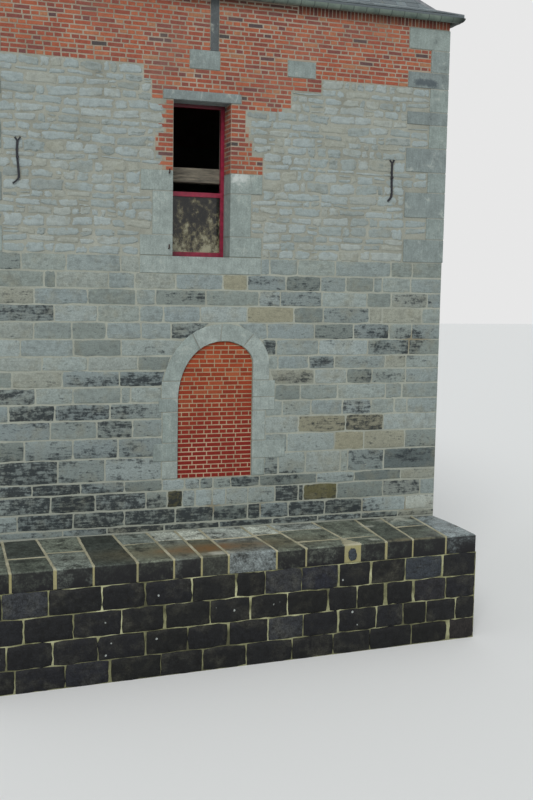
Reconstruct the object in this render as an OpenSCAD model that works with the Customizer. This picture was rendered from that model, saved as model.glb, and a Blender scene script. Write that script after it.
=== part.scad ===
// Water mill house of stone and brick, standing in the river on a stone plinth.
// The front wall faces -Y, heights start at the river, and X is measured from the middle of the front.

/* [House] */
// Width of the front wall
house_w = 7000; // [6600:50:7400]
// Depth of the house, front face to back face
house_d = 8400; // [7800:50:9600]
// Thickness of the walls
wall_t = 550; // [500:10:640]
// Height where the squared ashlar ends, the rubble starts and the windows stand
rubble_z = 5300; // [5200:10:5400]
// Height of the rubble above the ashlar
rubble_h = 2500; // [2440:10:2600]
// Height of the brick band above the rubble
band_h = 1000; // [950:10:1150]
// How far dressed stones stand out of the wall face
dressed_proud = 12; // [4:1:25]
// Width of the mortar joints between dressed stones
joint = 12; // [6:1:20]

/* [Plinth] */
// Height of the plinth
plinth_h = 1500; // [1200:20:1800]
// Depth of the plinth at its right end
plinth_right_d = 1290; // [900:10:1500]
// Depth of the plinth at its left end
plinth_left_d = 1600; // [1400:10:2000]
// Thickness of the slabs that cap the plinth
slab_t = 260; // [160:10:320]
// Width of the open joints between the capping slabs
slab_joint = 16; // [8:1:30]

/* [Quoins] */
// Reach of a long corner stone along its wall
quoin_long = 640; // [560:10:760]
// Reach of a short corner stone along its wall
quoin_short = 280; // [200:10:380]
// Height of the brick course that stays free above the top corner stone
eaves_course_h = 155; // [100:5:200]

/* [Windows] */
// Width of a window opening
win_w = 810; // [700:10:950]
// Height of the masonry between a window and the brick band
win_head = 420; // [380:10:480]
// Place of the front window, left or right of the middle of the wall
win_x = -205; // [-400:5:200]
// Depth from the wall face to the window frame
reveal_d = 300; // [260:10:380]
// Depth of the window frame
frame_t = 60; // [45:1:80]
// Width of the stiles of the frame
stile_w = 51; // [40:1:70]
// Height of the bottom rail
bottom_rail_h = 70; // [50:1:90]
// Height of the head of the frame
head_h = 45; // [35:1:60]
// Height of the transom above the sill
transom_z = 830; // [700:10:900]
// Thickness of the transom
transom_h = 64; // [45:1:80]
// Thickness of the glass
glass_t = 6; // [4:1:10]
// Height of the stone sill
sill_h = 230; // [160:10:260]
// Height of the stone lintel
lintel_h = 125; // [100:5:160]
// Bearing of the lintel on each side of the opening
lintel_bearing = 140; // [100:5:200]
// Height of the dressed stones of a jamb, all three together
jamb_h = 1140; // [1000:20:1200]
// Height of the beam behind the front window above its sill
beam_z = 1030; // [960:10:1100]
// Thickness of that beam
beam_h = 200; // [120:10:260]

/* [Arch] */
// Place of the middle of the bricked-up arch
arch_x = 25; // [-200:5:200]
// Width of the arch
arch_w = 1085; // [900:5:1200]
// Height of the foot of the arch
arch_z = 2230; // [2000:10:2500]
// Height of the arch from its foot to its crown
arch_h = 1915; // [1780:5:2000]
// Rise of the slanting left haunch
left_rise = 810; // [700:10:900]
// Rise of the round right haunch
right_rise = 310; // [260:10:420]
// Place of the crown, right of the middle of the arch
crown_x = 120; // [0:10:160]
// Depth of the ring of arch stones on the wall face
ring_w = 240; // [180:10:300]
// Depth of the arch stones into the wall
ring_d = 300; // [260:10:360]
// How far the brick filling stands back from the wall face
infill_set = 25; // [10:1:60]
// Thickness of the brick filling
infill_t = 215; // [180:5:230]

/* [Wall ties] */
// Distance of each iron anchor from the corner of the house
anchor_in = 860; // [800:10:1200]
// Height of the foot of the anchors
anchor_z = 6170; // [6050:10:6250]
// Height of an anchor
anchor_h = 610; // [500:10:700]
// Width of the forged bar
anchor_bar = 28; // [20:1:40]
// How far the bar stands out of the wall
anchor_t = 24; // [16:1:36]

/* [Floor] */
// Height of the top of the upper floor
floor_z = 4450; // [4300:10:4600]
// Thickness of the upper floor
floor_t = 150; // [100:10:220]

/* [Roof] */
// Overhang of the slates beyond the wall face
eaves_out = 150; // [130:5:155]
// Pitch of the roof
pitch = 43; // [38:1:48]
// Pitch of the flatter foot of the slopes
foot_pitch = 20; // [16:1:26]
// Length of that flatter foot on plan
foot_run = 300; // [250:10:400]
// Thickness of slates and boards at the eaves
edge_t = 35; // [25:1:45]
// Upright thickness of the slopes, slates, boards and rafters together
slope_t = 190; // [150:5:240]
// Half width of the metal caps on ridge and hips
cap_w = 70; // [50:5:100]
// Upright height of the caps above the slates
cap_t = 18; // [10:1:30]

/* [Gutters] */
// Outer radius of the half-round gutter
gutter_r = 65; // [60:1:70]
// Thickness of the gutter metal
gutter_t = 4; // [3:0.5:6]
// Distance of the middle of the gutter from the wall face
gutter_out = 100; // [98:1:110]

/* [Hidden] */

band_z = rubble_z + rubble_h;
wall_h = band_z + band_h;

// The box of the whole part is centred on the origin in X and Y.
gutter_edge = gutter_out + gutter_r;
plinth_d = max(plinth_left_d, plinth_right_d);
face_y = (plinth_d - house_d - gutter_edge) / 2;
inside_d = house_d - 2 * wall_t;
facing_d = reveal_d + frame_t;
past = 50;

win_z = rubble_z;
win_h = rubble_h - win_head;
win_top = win_z + win_h;
jamb_top = win_z + jamb_h;

// Jamb stones from the sill up: share of the height, reach to the left, reach to the right.
JAMBS = [[2, 450, 460], [4.2, 280, 300], [2, 440, 460]];
// Toothed brickwork round the front window from its jamb stones to the brick band: share of the height,
// reach to the left, reach to the right.
BRICK_STEPS = [
    [246, 150, 470], [214, 250, 310], [184, 130, 260], [246, 120, 210], [62, 95, 740], [246, 300, 870],
    [162, 410, 1320]
];
// Corner stones from the rubble up to the brick band, then up to the eaves: shares of the height.
QUOINS_RUBBLE = [34, 31, 37, 29, 35, 33, 19, 33];
QUOINS_BAND = [23, 31, 30];
// Capping slabs of the plinth from the right end: shares of the length.
SLABS = [44, 48, 43, 57, 60, 38, 67, 52, 46, 61, 50, 42, 58, 54];
// Stones beside the arch from its foot up: share of the height, reach left, reach right.
ARCH_JAMBS = [[26, 220, 190], [27, 345, 500], [45, 215, 190], [20, 270, 330], [25, 230, 330]];
// Angles of the joints between the arch stones, seen from the springing.
ARCH_JOINTS = [50, 84, 118];

function sum_to(list, n) = n == 0 ? 0 : list[n - 1] + sum_to(list, n - 1);
function total(list) = sum_to(list, len(list));
function share(list, n) = sum_to(list, n) / total(list);
function first(rows) = [for (row = rows) row[0]];

module placed() {
    translate([0, face_y, 0]) children();
}

// Turns something made for the front wall, with Y into the wall, to another side of the house.
module on_side(side) {
    if (side == "front") children();
    if (side == "back") translate([0, house_d, 0]) rotate([0, 0, 180]) children();
    if (side == "right") translate([house_w / 2, house_d / 2, 0]) rotate([0, 0, 90]) children();
    if (side == "left") translate([-house_w / 2, house_d / 2, 0]) rotate([0, 0, -90]) children();
}

function span(side) = side == "front" || side == "back" ? house_w : house_d;

// Block on a wall: from x0 to x1, y0 to y1 into the wall, z0 to z1.
module block(x, y, z) {
    translate([x[0], y[0], z[0]]) cube([x[1] - x[0], y[1] - y[0], z[1] - z[0]]);
}

// Flat outline in X and Z, given depth into the wall.
module into_wall(y0, y1) {
    translate([0, y1, 0]) rotate([90, 0, 0]) linear_extrude(y1 - y0) children();
}

// Profile in Y and Z, carried along X.
module along_wall(length) {
    rotate([90, 0, 90]) linear_extrude(length, center = true) children();
}

/* Corner stones */

// One corner, made for the right end of a wall whose corner stands at x.
module quoin_column(x) {
    zones = [
        [win_z, band_z, QUOINS_RUBBLE, 0],
        [band_z, wall_h - eaves_course_h, QUOINS_BAND, len(QUOINS_RUBBLE)]
    ];
    for (zone = zones) {
        for (i = [0 : len(zone[2]) - 1]) {
            z0 = zone[0] + (zone[1] - zone[0]) * share(zone[2], i);
            z1 = zone[0] + (zone[1] - zone[0]) * share(zone[2], i + 1);
            long_front = (i + zone[3]) % 2 == 0;
            along = long_front ? quoin_long : quoin_short;
            across = long_front ? quoin_short : quoin_long;
            block([x - along, x + dressed_proud], [-dressed_proud, across], [z0 + joint / 2, z1 - joint / 2]);
        }
    }
}

module quoins(corner) {
    if (corner == "front_right") on_side("front") quoin_column(house_w / 2);
    if (corner == "front_left") mirror([1, 0, 0]) quoin_column(house_w / 2);
    if (corner == "back_left") on_side("back") quoin_column(house_w / 2);
    if (corner == "back_right") on_side("back") mirror([1, 0, 0]) quoin_column(house_w / 2);
}

module all_quoins() {
    for (corner = ["front_right", "front_left", "back_left", "back_right"]) quoins(corner);
}

/* Windows, made for a window whose middle stands at x */

module window_opening(x) {
    block([x - win_w / 2, x + win_w / 2], [-past, wall_t + past], [win_z, win_top]);
}

module window_sill(x) {
    left = x - win_w / 2 - JAMBS[0][1];
    right = x + win_w / 2 + JAMBS[0][2];
    block([left, right], [-dressed_proud, facing_d], [win_z - sill_h, win_z]);
}

module window_lintel(x) {
    reach = win_w / 2 + lintel_bearing;
    block([x - reach, x + reach], [-dressed_proud, facing_d], [win_top, win_top + lintel_h]);
}

module window_jambs(x) {
    heights = first(JAMBS);
    for (i = [0 : len(JAMBS) - 1]) {
        z = [win_z + jamb_h * share(heights, i) + joint, win_z + jamb_h * share(heights, i + 1)];
        left = x - win_w / 2;
        right = x + win_w / 2;
        block([left - JAMBS[i][1], left], [-dressed_proud, facing_d], z);
        block([right, right + JAMBS[i][2]], [-dressed_proud, facing_d], z);
    }
}

module window_stones(x) {
    window_sill(x);
    window_lintel(x);
    window_jambs(x);
}

module window_frame(x) {
    into_wall(reveal_d, facing_d) translate([x - win_w / 2, win_z]) difference() {
        square([win_w, win_h]);
        translate([stile_w, bottom_rail_h])
            square([win_w - 2 * stile_w, transom_z - bottom_rail_h]);
        translate([stile_w, transom_z + transom_h])
            square([win_w - 2 * stile_w, win_h - head_h - transom_z - transom_h]);
    }
}

module lower_glass(x) {
    y = reveal_d + (frame_t - glass_t) / 2;
    half = win_w / 2 - stile_w;
    block([x - half, x + half], [y, y + glass_t], [win_z + bottom_rail_h, win_z + transom_z]);
}

module upper_glass(x) {
    y = reveal_d + (frame_t - glass_t) / 2;
    half = win_w / 2 - stile_w;
    block([x - half, x + half], [y, y + glass_t], [win_z + transom_z + transom_h, win_top - head_h]);
}

/* Toothed brickwork round the front window */

module brickwork_outline() {
    heights = first(BRICK_STEPS);
    last = len(BRICK_STEPS) - 1;
    left = win_x - win_w / 2;
    right = win_x + win_w / 2;
    step_z = [for (i = [0 : last + 1]) jamb_top + (band_z - jamb_top) * share(heights, i)];
    left_side = [for (i = [0 : last], k = [0, 1]) [left - BRICK_STEPS[i][1], step_z[i + k]]];
    right_side = [for (i = [last : -1 : 0], k = [1, 0]) [right + BRICK_STEPS[i][2], step_z[i + k]]];
    polygon(concat(left_side, right_side));
}

module brickwork_solid() {
    into_wall(0, facing_d) brickwork_outline();
}

/* Arch */

function bezier(a, b, c, d, t) =
    pow(1 - t, 3) * a + 3 * pow(1 - t, 2) * t * b + 3 * (1 - t) * t * t * c + t * t * t * d;

// Outline of the arch, widened by g: a long slanting left haunch, a flat crown and a round right haunch.
function arch_outline(g) =
    let (
        steps = 12,
        left = arch_x - arch_w / 2 - g,
        right = arch_x + arch_w / 2 + g,
        top = arch_z + arch_h + g,
        crown = [arch_x + crown_x, top],
        left_foot = [left, arch_z + arch_h - left_rise],
        right_foot = [right, arch_z + arch_h - right_rise],
        left_up = [left, left_foot[1] + 0.44 * (top - left_foot[1])],
        left_in = [left + 0.29 * (crown[0] - left), top],
        right_up = [right, right_foot[1] + 0.55 * (top - right_foot[1])],
        right_in = [right - 0.5 * (right - crown[0]), top]
    )
    concat(
        [[left, arch_z]],
        [for (i = [0 : steps]) bezier(left_foot, left_up, left_in, crown, i / steps)],
        [for (i = [1 : steps]) bezier(crown, right_in, right_up, right_foot, i / steps)],
        [[right, arch_z]]
    );

spring_z = arch_z + arch_h - left_rise + 260;

module arch_ring_outline() {
    difference() {
        polygon(arch_outline(ring_w));
        polygon(arch_outline(0));
        translate([-house_w / 2, 0]) square([house_w, spring_z + joint / 2]);
        for (angle = ARCH_JOINTS)
            translate([arch_x, spring_z]) rotate(angle)
                translate([0, -joint / 2]) square([arch_h, joint]);
    }
}

module arch_jamb_outline() {
    heights = first(ARCH_JAMBS);
    for (i = [0 : len(ARCH_JAMBS) - 1]) {
        z0 = arch_z + (spring_z - arch_z) * share(heights, i) + joint / 2;
        z1 = arch_z + (spring_z - arch_z) * share(heights, i + 1) - joint / 2;
        translate([arch_x - arch_w / 2 - ARCH_JAMBS[i][1], z0])
            square([arch_w + ARCH_JAMBS[i][1] + ARCH_JAMBS[i][2], z1 - z0]);
    }
}

module arch_stone_solids() {
    into_wall(-dressed_proud, ring_d) {
        arch_ring_outline();
        difference() {
            arch_jamb_outline();
            polygon(arch_outline(0));
            translate([0, -past]) polygon(arch_outline(0));
        }
    }
}

/* Blocks, post and anchors */

post_x = -48;
post_w = 115;
pad_x = [-390, post_x + post_w / 2 + 20];
pad_h = 250;
block_x = [1010, 1420];
block_h = 220;
post_d = 120;
block_d = 240;

module block_solids() {
    block(pad_x, [-dressed_proud, block_d], [band_z, band_z + pad_h]);
    block(block_x, [-dressed_proud, block_d], [band_z, band_z + block_h]);
}

module post_solid() {
    block([post_x - post_w / 2, post_x + post_w / 2], [-dressed_proud, post_d], [band_z + pad_h, wall_h]);
}

// Forged anchor: an upright bar that ends in a fork above and in a hook to the left below.
module anchor(x) {
    hook_r = 5 * anchor_bar;
    hook_turn = 50;
    fork = 2.2 * anchor_bar;
    stem_foot = hook_r * sin(hook_turn);
    stem_top = anchor_h - fork;
    translate([x, 0, anchor_z]) {
        into_wall(-anchor_t, 0) {
            translate([-anchor_bar / 2, stem_foot]) square([anchor_bar, stem_top - stem_foot]);
            translate([-hook_r, stem_foot]) intersection() {
                difference() {
                    circle(hook_r + anchor_bar / 2);
                    circle(hook_r - anchor_bar / 2);
                }
                polygon([[0, 0], [2 * hook_r, 0], 2 * hook_r * [1, -tan(hook_turn)]]);
            }
            for (lean = [-38, 30])
                translate([0, stem_top - anchor_bar / 2]) rotate(-lean)
                    translate([-anchor_bar * 0.35, 0]) square([anchor_bar * 0.7, fork]);
        }
        translate([0, -anchor_t, anchor_h * 0.55]) rotate([90, 0, 0]) cylinder(h = 14, r = anchor_bar * 0.7);
    }
}

/* Walls */

module front_wall_lower() {
    color("slategray") placed() difference() {
        block([-house_w / 2, house_w / 2], [0, wall_t], [0, rubble_z]);
        into_wall(-past, wall_t + past) polygon(arch_outline(0));
        arch_stone_solids();
        window_sill(win_x);
    }
}

module front_wall_upper() {
    color("darkgray") placed() difference() {
        block([-house_w / 2, house_w / 2], [0, wall_t], [rubble_z, band_z]);
        window_opening(win_x);
        window_jambs(win_x);
        window_lintel(win_x);
        into_wall(-past, facing_d) brickwork_outline();
        all_quoins();
    }
}

module front_brick_band() {
    color("indianred") placed() difference() {
        block([-house_w / 2, house_w / 2], [0, wall_t], [band_z, wall_h]);
        all_quoins();
        block_solids();
        post_solid();
    }
}

module back_wall() {
    color("darkgray") placed() difference() {
        on_side("back") difference() {
            block([-house_w / 2, house_w / 2], [0, wall_t], [0, band_z]);
            window_opening(0);
            window_stones(0);
        }
        all_quoins();
    }
}

module back_brick_band() {
    color("indianred") placed() difference() {
        on_side("back") block([-house_w / 2, house_w / 2], [0, wall_t], [band_z, wall_h]);
        all_quoins();
    }
}

module flank_wall(side) {
    difference() {
        on_side(side) difference() {
            block([-inside_d / 2, inside_d / 2], [0, wall_t], [0, band_z]);
            window_opening(0);
            window_stones(0);
        }
        all_quoins();
    }
}

module flank_band(side) {
    difference() {
        on_side(side) block([-inside_d / 2, inside_d / 2], [0, wall_t], [band_z, wall_h]);
        all_quoins();
    }
}

module right_wall() {
    color("darkgray") placed() flank_wall("right");
}

module right_brick_band() {
    color("indianred") placed() flank_band("right");
}

module left_wall() {
    color("darkgray") placed() flank_wall("left");
}

module left_brick_band() {
    color("indianred") placed() flank_band("left");
}

module quoins_front_right() {
    color("lightslategray") placed() quoins("front_right");
}

module quoins_front_left() {
    color("lightslategray") placed() quoins("front_left");
}

module quoins_back_right() {
    color("lightslategray") placed() quoins("back_right");
}

module quoins_back_left() {
    color("lightslategray") placed() quoins("back_left");
}

/* Plinth */

module plinth_plan() {
    polygon([
        [-house_w / 2, 0], [-house_w / 2, -plinth_left_d],
        [house_w / 2, -plinth_right_d], [house_w / 2, 0]
    ]);
}

module plinth() {
    color("dimgray") placed() linear_extrude(plinth_h - slab_t) plinth_plan();
}

module plinth_slabs() {
    color("gray") placed() translate([0, 0, plinth_h - slab_t]) linear_extrude(slab_t) difference() {
        plinth_plan();
        for (i = [1 : len(SLABS) - 1])
            translate([house_w / 2 - house_w * share(SLABS, i) - slab_joint / 2, -plinth_d - past])
                square([slab_joint, plinth_d + 2 * past]);
    }
}

/* Arch pieces */

module arch_stones() {
    color("slategray") placed() arch_stone_solids();
}

module arch_brick_infill() {
    color("firebrick") placed() into_wall(infill_set, infill_set + infill_t) polygon(arch_outline(-0.3));
}

/* Front window pieces */

module front_window_brickwork() {
    color("indianred") placed() difference() {
        brickwork_solid();
        window_opening(win_x);
        window_lintel(win_x);
    }
}

module front_window_jambs() {
    color("lightslategray") placed() window_jambs(win_x);
}

module front_window_lintel() {
    color("lightslategray") placed() window_lintel(win_x);
}

module front_window_sill() {
    color("slategray") placed() window_sill(win_x);
}

module front_window_frame() {
    color("crimson") placed() window_frame(win_x);
}

module front_window_glass() {
    color("lightblue") placed() lower_glass(win_x);
}

module front_window_beam() {
    color("dimgray") placed()
        block([win_x - win_w / 2, win_x + win_w / 2], [facing_d, wall_t], [win_z + beam_z, win_z + beam_z + beam_h]);
}

/* Windows of the other sides */

module right_window_stones() {
    color("lightslategray") placed() on_side("right") window_stones(0);
}

module right_window_frame() {
    color("crimson") placed() on_side("right") window_frame(0);
}

module right_window_glass() {
    color("lightblue") placed() on_side("right") {
        lower_glass(0);
        upper_glass(0);
    }
}

module left_window_stones() {
    color("lightslategray") placed() on_side("left") window_stones(0);
}

module left_window_frame() {
    color("crimson") placed() on_side("left") window_frame(0);
}

module left_window_glass() {
    color("lightblue") placed() on_side("left") {
        lower_glass(0);
        upper_glass(0);
    }
}

module back_window_stones() {
    color("lightslategray") placed() on_side("back") window_stones(0);
}

module back_window_frame() {
    color("crimson") placed() on_side("back") window_frame(0);
}

module back_window_glass() {
    color("lightblue") placed() on_side("back") {
        lower_glass(0);
        upper_glass(0);
    }
}

/* Details of the front */

module wall_anchors() {
    color("black") placed() {
        anchor(anchor_in - house_w / 2);
        anchor(house_w / 2 - anchor_in);
    }
}

module wall_blocks() {
    color("lightslategray") placed() block_solids();
}

module wall_post() {
    color("slategray") placed() post_solid();
}

module upper_floor() {
    color("peru") placed()
        block([-house_w / 2 + wall_t, house_w / 2 - wall_t], [wall_t, house_d - wall_t], [floor_z - floor_t, floor_z]);
}

/* Roof */

foot_rise = foot_run * tan(foot_pitch);
run = house_w / 2 + eaves_out;
ridge_z = wall_h + edge_t + foot_rise + (run - foot_run) * tan(pitch);
seat_y = foot_run - eaves_out + (slope_t - edge_t - foot_rise) / tan(pitch);

// Line of the slates in Y and Z, raised by lift.
function slate_line(lift) = [
    [-eaves_out, wall_h + edge_t + lift],
    [foot_run - eaves_out, wall_h + edge_t + foot_rise + lift],
    [house_w / 2, ridge_z + lift]
];

// Plan of one slope between its hips.
module slope_plan(side) {
    half = span(side) / 2 + eaves_out;
    polygon(
        half == run
        ? [[-half, -eaves_out], [half, -eaves_out], [0, run - eaves_out]]
        : [
            [-half, -eaves_out], [half, -eaves_out],
            [half - run, run - eaves_out], [run - half, run - eaves_out]
        ]
    );
}

module slope(side) {
    on_side(side) intersection() {
        along_wall(span(side) + 2 * run) polygon(concat(
            [[seat_y, wall_h], [-eaves_out, wall_h]],
            slate_line(0),
            [[house_w / 2, ridge_z - slope_t]]
        ));
        linear_extrude(2 * ridge_z) slope_plan(side);
    }
}

module slope_skin(side) {
    on_side(side) intersection() {
        along_wall(span(side) + 2 * run) polygon(concat(
            slate_line(0),
            [for (i = [2 : -1 : 0]) slate_line(cap_t)[i]]
        ));
        linear_extrude(2 * ridge_z) slope_plan(side);
    }
}

module roof_front() {
    color("lightsteelblue") placed() slope("front");
}

module roof_right() {
    color("lightsteelblue") placed() slope("right");
}

module roof_left() {
    color("lightsteelblue") placed() slope("left");
}

module roof_back() {
    color("lightsteelblue") placed() slope("back");
}

// Strips on plan along the four hips and the ridge.
module cap_plan() {
    ridge_end = house_d / 2 - house_w / 2;
    for (turn = [0, 180], flip = [0, 1])
        translate([0, house_d / 2]) rotate(turn) mirror([flip, 0])
            polygon([
                [-cap_w * sqrt(2), ridge_end], [0, ridge_end - cap_w * sqrt(2)],
                [run, ridge_end + run - cap_w * sqrt(2)], [run, ridge_end + run],
                [run - cap_w * sqrt(2), ridge_end + run]
            ]);
    translate([-cap_w, house_w / 2]) square([2 * cap_w, house_d - house_w]);
}

module roof_caps() {
    color("gainsboro") placed() intersection() {
        union() {
            for (side = ["front", "right", "left", "back"]) slope_skin(side);
        }
        linear_extrude(2 * ridge_z) cap_plan();
    }
}

/* Gutters */

module gutter(side) {
    reach = 2 * gutter_edge;
    on_side(side) intersection() {
        along_wall(span(side) + 2 * reach) translate([-gutter_out, wall_h]) difference() {
            circle(gutter_r, $fn = 48);
            circle(gutter_r - gutter_t, $fn = 48);
            translate([-gutter_r - past, 0]) square([2 * (gutter_r + past), gutter_r + past]);
        }
        translate([0, 0, wall_h / 2]) linear_extrude(wall_h) polygon([
            [-span(side) / 2, 0], [span(side) / 2, 0],
            [span(side) / 2 + reach, -reach], [-span(side) / 2 - reach, -reach]
        ]);
    }
}

module gutter_front() {
    color("darkseagreen") placed() gutter("front");
}

module gutter_right() {
    color("darkseagreen") placed() gutter("right");
}

module gutter_left() {
    color("darkseagreen") placed() gutter("left");
}

module gutter_back() {
    color("darkseagreen") placed() gutter("back");
}

plinth();
plinth_slabs();
front_wall_lower();
front_wall_upper();
front_brick_band();
right_wall();
right_brick_band();
left_wall();
left_brick_band();
back_wall();
back_brick_band();
quoins_front_right();
quoins_front_left();
quoins_back_right();
quoins_back_left();
arch_stones();
arch_brick_infill();
front_window_brickwork();
front_window_jambs();
front_window_lintel();
front_window_sill();
front_window_frame();
front_window_glass();
front_window_beam();
right_window_stones();
right_window_frame();
right_window_glass();
left_window_stones();
left_window_frame();
left_window_glass();
back_window_stones();
back_window_frame();
back_window_glass();
wall_anchors();
wall_blocks();
wall_post();
upper_floor();
roof_front();
roof_right();
roof_left();
roof_back();
roof_caps();
gutter_front();
gutter_right();
gutter_left();
gutter_back();
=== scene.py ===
"""Looks of the stone and brick mill house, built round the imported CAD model. Metres, front towards -Y."""

import math

import bmesh
import bpy
import numpy as np
from mathutils import Matrix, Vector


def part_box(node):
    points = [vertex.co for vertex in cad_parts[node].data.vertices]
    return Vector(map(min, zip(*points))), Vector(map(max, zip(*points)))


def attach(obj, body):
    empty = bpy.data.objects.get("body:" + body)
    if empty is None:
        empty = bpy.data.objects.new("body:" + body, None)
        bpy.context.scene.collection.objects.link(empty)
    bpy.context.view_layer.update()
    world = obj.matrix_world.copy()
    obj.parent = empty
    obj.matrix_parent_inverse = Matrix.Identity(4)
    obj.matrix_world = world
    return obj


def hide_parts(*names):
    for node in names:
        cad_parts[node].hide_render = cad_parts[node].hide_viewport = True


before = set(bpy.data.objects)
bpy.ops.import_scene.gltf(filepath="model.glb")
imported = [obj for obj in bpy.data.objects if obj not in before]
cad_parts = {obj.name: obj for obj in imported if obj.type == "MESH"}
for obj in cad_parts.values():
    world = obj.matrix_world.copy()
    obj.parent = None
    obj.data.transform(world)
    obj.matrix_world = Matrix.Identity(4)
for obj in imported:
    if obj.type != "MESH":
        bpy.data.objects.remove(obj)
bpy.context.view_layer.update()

# Plinth in front of the house
# A solid block of masonry faced with coursed blue limestone, black with wet and algae.
# The blocks are hand-split, bedded in a yellow hydraulic lime mortar that also fills the wide uprights.


def colour(code):
    """An sRGB hex colour as the linear values that a shader takes."""
    srgb = np.array([int(code[i:i + 2], 16) for i in (1, 3, 5)]) / 255
    linear = np.where(srgb <= 0.04045, srgb / 12.92, ((srgb + 0.055) / 1.055) ** 2.4)
    return (*linear.tolist(), 1.0)


def finish(name):
    """A new material that holds only its output and a Principled shader."""
    material = bpy.data.materials.new(name)
    material.use_nodes = True
    return material


def plug(material, node, sockets):
    """Fills sockets of a node by name or number: by a link where a socket is given, else with the value."""
    for key, value in sockets.items():
        if isinstance(value, bpy.types.NodeSocket):
            material.node_tree.links.new(value, node.inputs[key])
        else:
            node.inputs[key].default_value = value


def add(material, kind, sockets=None, stops=None, **settings):
    """Adds one shader node: its properties, its sockets as values or links, and the stops of its ramp."""
    node = material.node_tree.nodes.new("ShaderNode" + kind)
    for key, value in settings.items():
        setattr(node, key, value)
    plug(material, node, sockets or {})
    for i, (place, code) in enumerate(stops or []):
        stop = node.color_ramp.elements[i] if i < 2 else node.color_ramp.elements.new(place)
        stop.position = place
        stop.color = colour(code)
    return node


def over(material, surface, code, value, start=0.0, full=1.0, most=1.0):
    """Lays a colour over a surface: none where the value is at start, rising to a share of most at full."""
    share = add(material, "MapRange", {"Value": value, "From Min": start, "From Max": full, "To Max": most})
    mixed = add(material, "MixRGB", {"Fac": share.outputs["Result"], "Color1": surface,
                                     "Color2": colour(code)})
    return mixed.outputs["Color"]


def coat(material, surface, roughness, relief=None, more=None):
    """Wires the shader: colour, roughness, others by name, and a relief as height, strength and depth."""
    sockets = {"Base Color": surface, "Roughness": roughness, **(more or {})}
    if relief:
        height, strength, depth = relief
        bump = add(material, "Bump", {"Height": height, "Strength": strength, "Distance": depth})
        sockets["Normal"] = bump.outputs["Normal"]
    plug(material, material.node_tree.nodes["Principled BSDF"], sockets)


def stand(name, data):
    """A new object that shows a mesh, a light or a camera, put into the scene."""
    thing = bpy.data.objects.new(name, data)
    bpy.context.scene.collection.objects.link(thing)
    return thing


def on_plane(origin, along, up=(0, 0, 1)):
    """Puts wall coordinates in place: origin + x times along + z times up + w times the outward normal."""
    out = np.cross(along, up)

    def place(x, z, w):
        flat = np.asarray(origin) + x[..., None] * np.asarray(along) + z[..., None] * np.asarray(up)
        return flat + w[..., None] * out
    return place


def from_rim(n_s, n_t):
    """How many lines in from its rim each point of a grid lies."""
    return np.minimum(np.minimum(*np.ogrid[:n_s, :n_t]), np.minimum(*np.ogrid[n_s - 1:-1:-1, n_t - 1:-1:-1]))


def shells(corners, rim, place, draw, inner=(3, 3), wander=0.0, rough=0.0, tilt=0.0, soften=0.0,
           stations=None):
    """Grids of points for many stones at once, shaped (stones, across, up, 3).

    Each stone is a four-cornered patch, its corners given as x and z from the lower left round to the upper
    left. Its grid lines run from -1 to 1 both ways. The outer lines follow the rim, a list of (distance in
    from the outline, height over the wall). Between them lie as many lines as inner says, or those that
    stations gives. A point is (low (1 - t) + high (1 + t)) / 2, where low and high are the same mix of the
    lower and of the upper corners by s. The corners are drawn in by soften, as the sixth power of s and t,
    the outline wanders, and the face is tilted and made rough by seeded random amounts.
    """
    count, rings = len(corners), len(rim)
    size = np.stack([
        np.abs(corners[:, 1] + corners[:, 2] - corners[:, 0] - corners[:, 3])[:, 0],
        np.abs(corners[:, 2] + corners[:, 3] - corners[:, 0] - corners[:, 1])[:, 1],
    ], -1) / 4
    lines = []
    for axis in (0, 1):
        half = np.maximum(size[:, axis], 0.004)
        # The rim takes at most 0.42 to 0.63 of half the stone, so that a narrow one keeps a face.
        inset = np.array([r[0] for r in rim]) / half[:, None]
        inset = np.minimum(inset, 0.42 * (1 + 0.5 * np.arange(rings) / rings))
        outer = inset - 1
        if stations is not None and axis == 0:
            middle = stations
        else:
            middle = outer[:, -1:] * np.linspace(1, -1, inner[axis] + 2)[1:-1]
        lines.append(np.concatenate([outer, middle, -outer[:, ::-1]], 1))
    s = lines[0][:, :, None] * np.ones_like(lines[1])[:, None, :]
    t = lines[1][:, None, :] * np.ones_like(lines[0])[:, :, None]
    n_s, n_t = s.shape[1:]
    pull = soften / np.maximum(size, soften * 1.5 + 1e-6)
    s, t = s * (1 - pull[:, 0, None, None] * t ** 6), t * (1 - pull[:, 1, None, None] * s ** 6)
    lower_left, lower_right, upper_right, upper_left = corners.transpose(1, 0, 2)[..., None, None]
    leftward, rightward = (1 - s)[:, None] / 2, (1 + s)[:, None] / 2
    low = lower_left * leftward + lower_right * rightward
    high = upper_left * leftward + upper_right * rightward
    flat = low * (1 - t)[:, None] / 2 + high * (1 + t)[:, None] / 2
    # Stones less than 160 mm across wander and roughen less, in proportion.
    calm = np.minimum(size.min(1) / 0.08, 1)[:, None, None]
    drift = draw.normal(0, wander, (count, 2, n_s - 2 * (rings - 1), n_t - 2 * (rings - 1))) * calm[:, None]
    # The outline wanders most, and the middle of the face follows less.
    drift[:, :, 1:-1, 1:-1] *= 0.4
    flat = flat + np.pad(drift, [(0, 0), (0, 0), (rings - 1, rings - 1), (rings - 1, rings - 1)], mode="edge")
    ring = from_rim(n_s, n_t)
    height = np.array([r[1] for r in rim])[np.minimum(ring, rings - 1)]
    lean = draw.normal(0, tilt, (count, 2, 1, 1))
    bumps = draw.normal(0, rough, (count, n_s, n_t)) * calm + lean[:, 0] * s + lean[:, 1] * t
    w = height + np.where(ring >= rings - 1, bumps, 0) * np.where(ring == rings - 1, 0.5, 1.0)
    return place(flat[:, 0], flat[:, 1], w)


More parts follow.
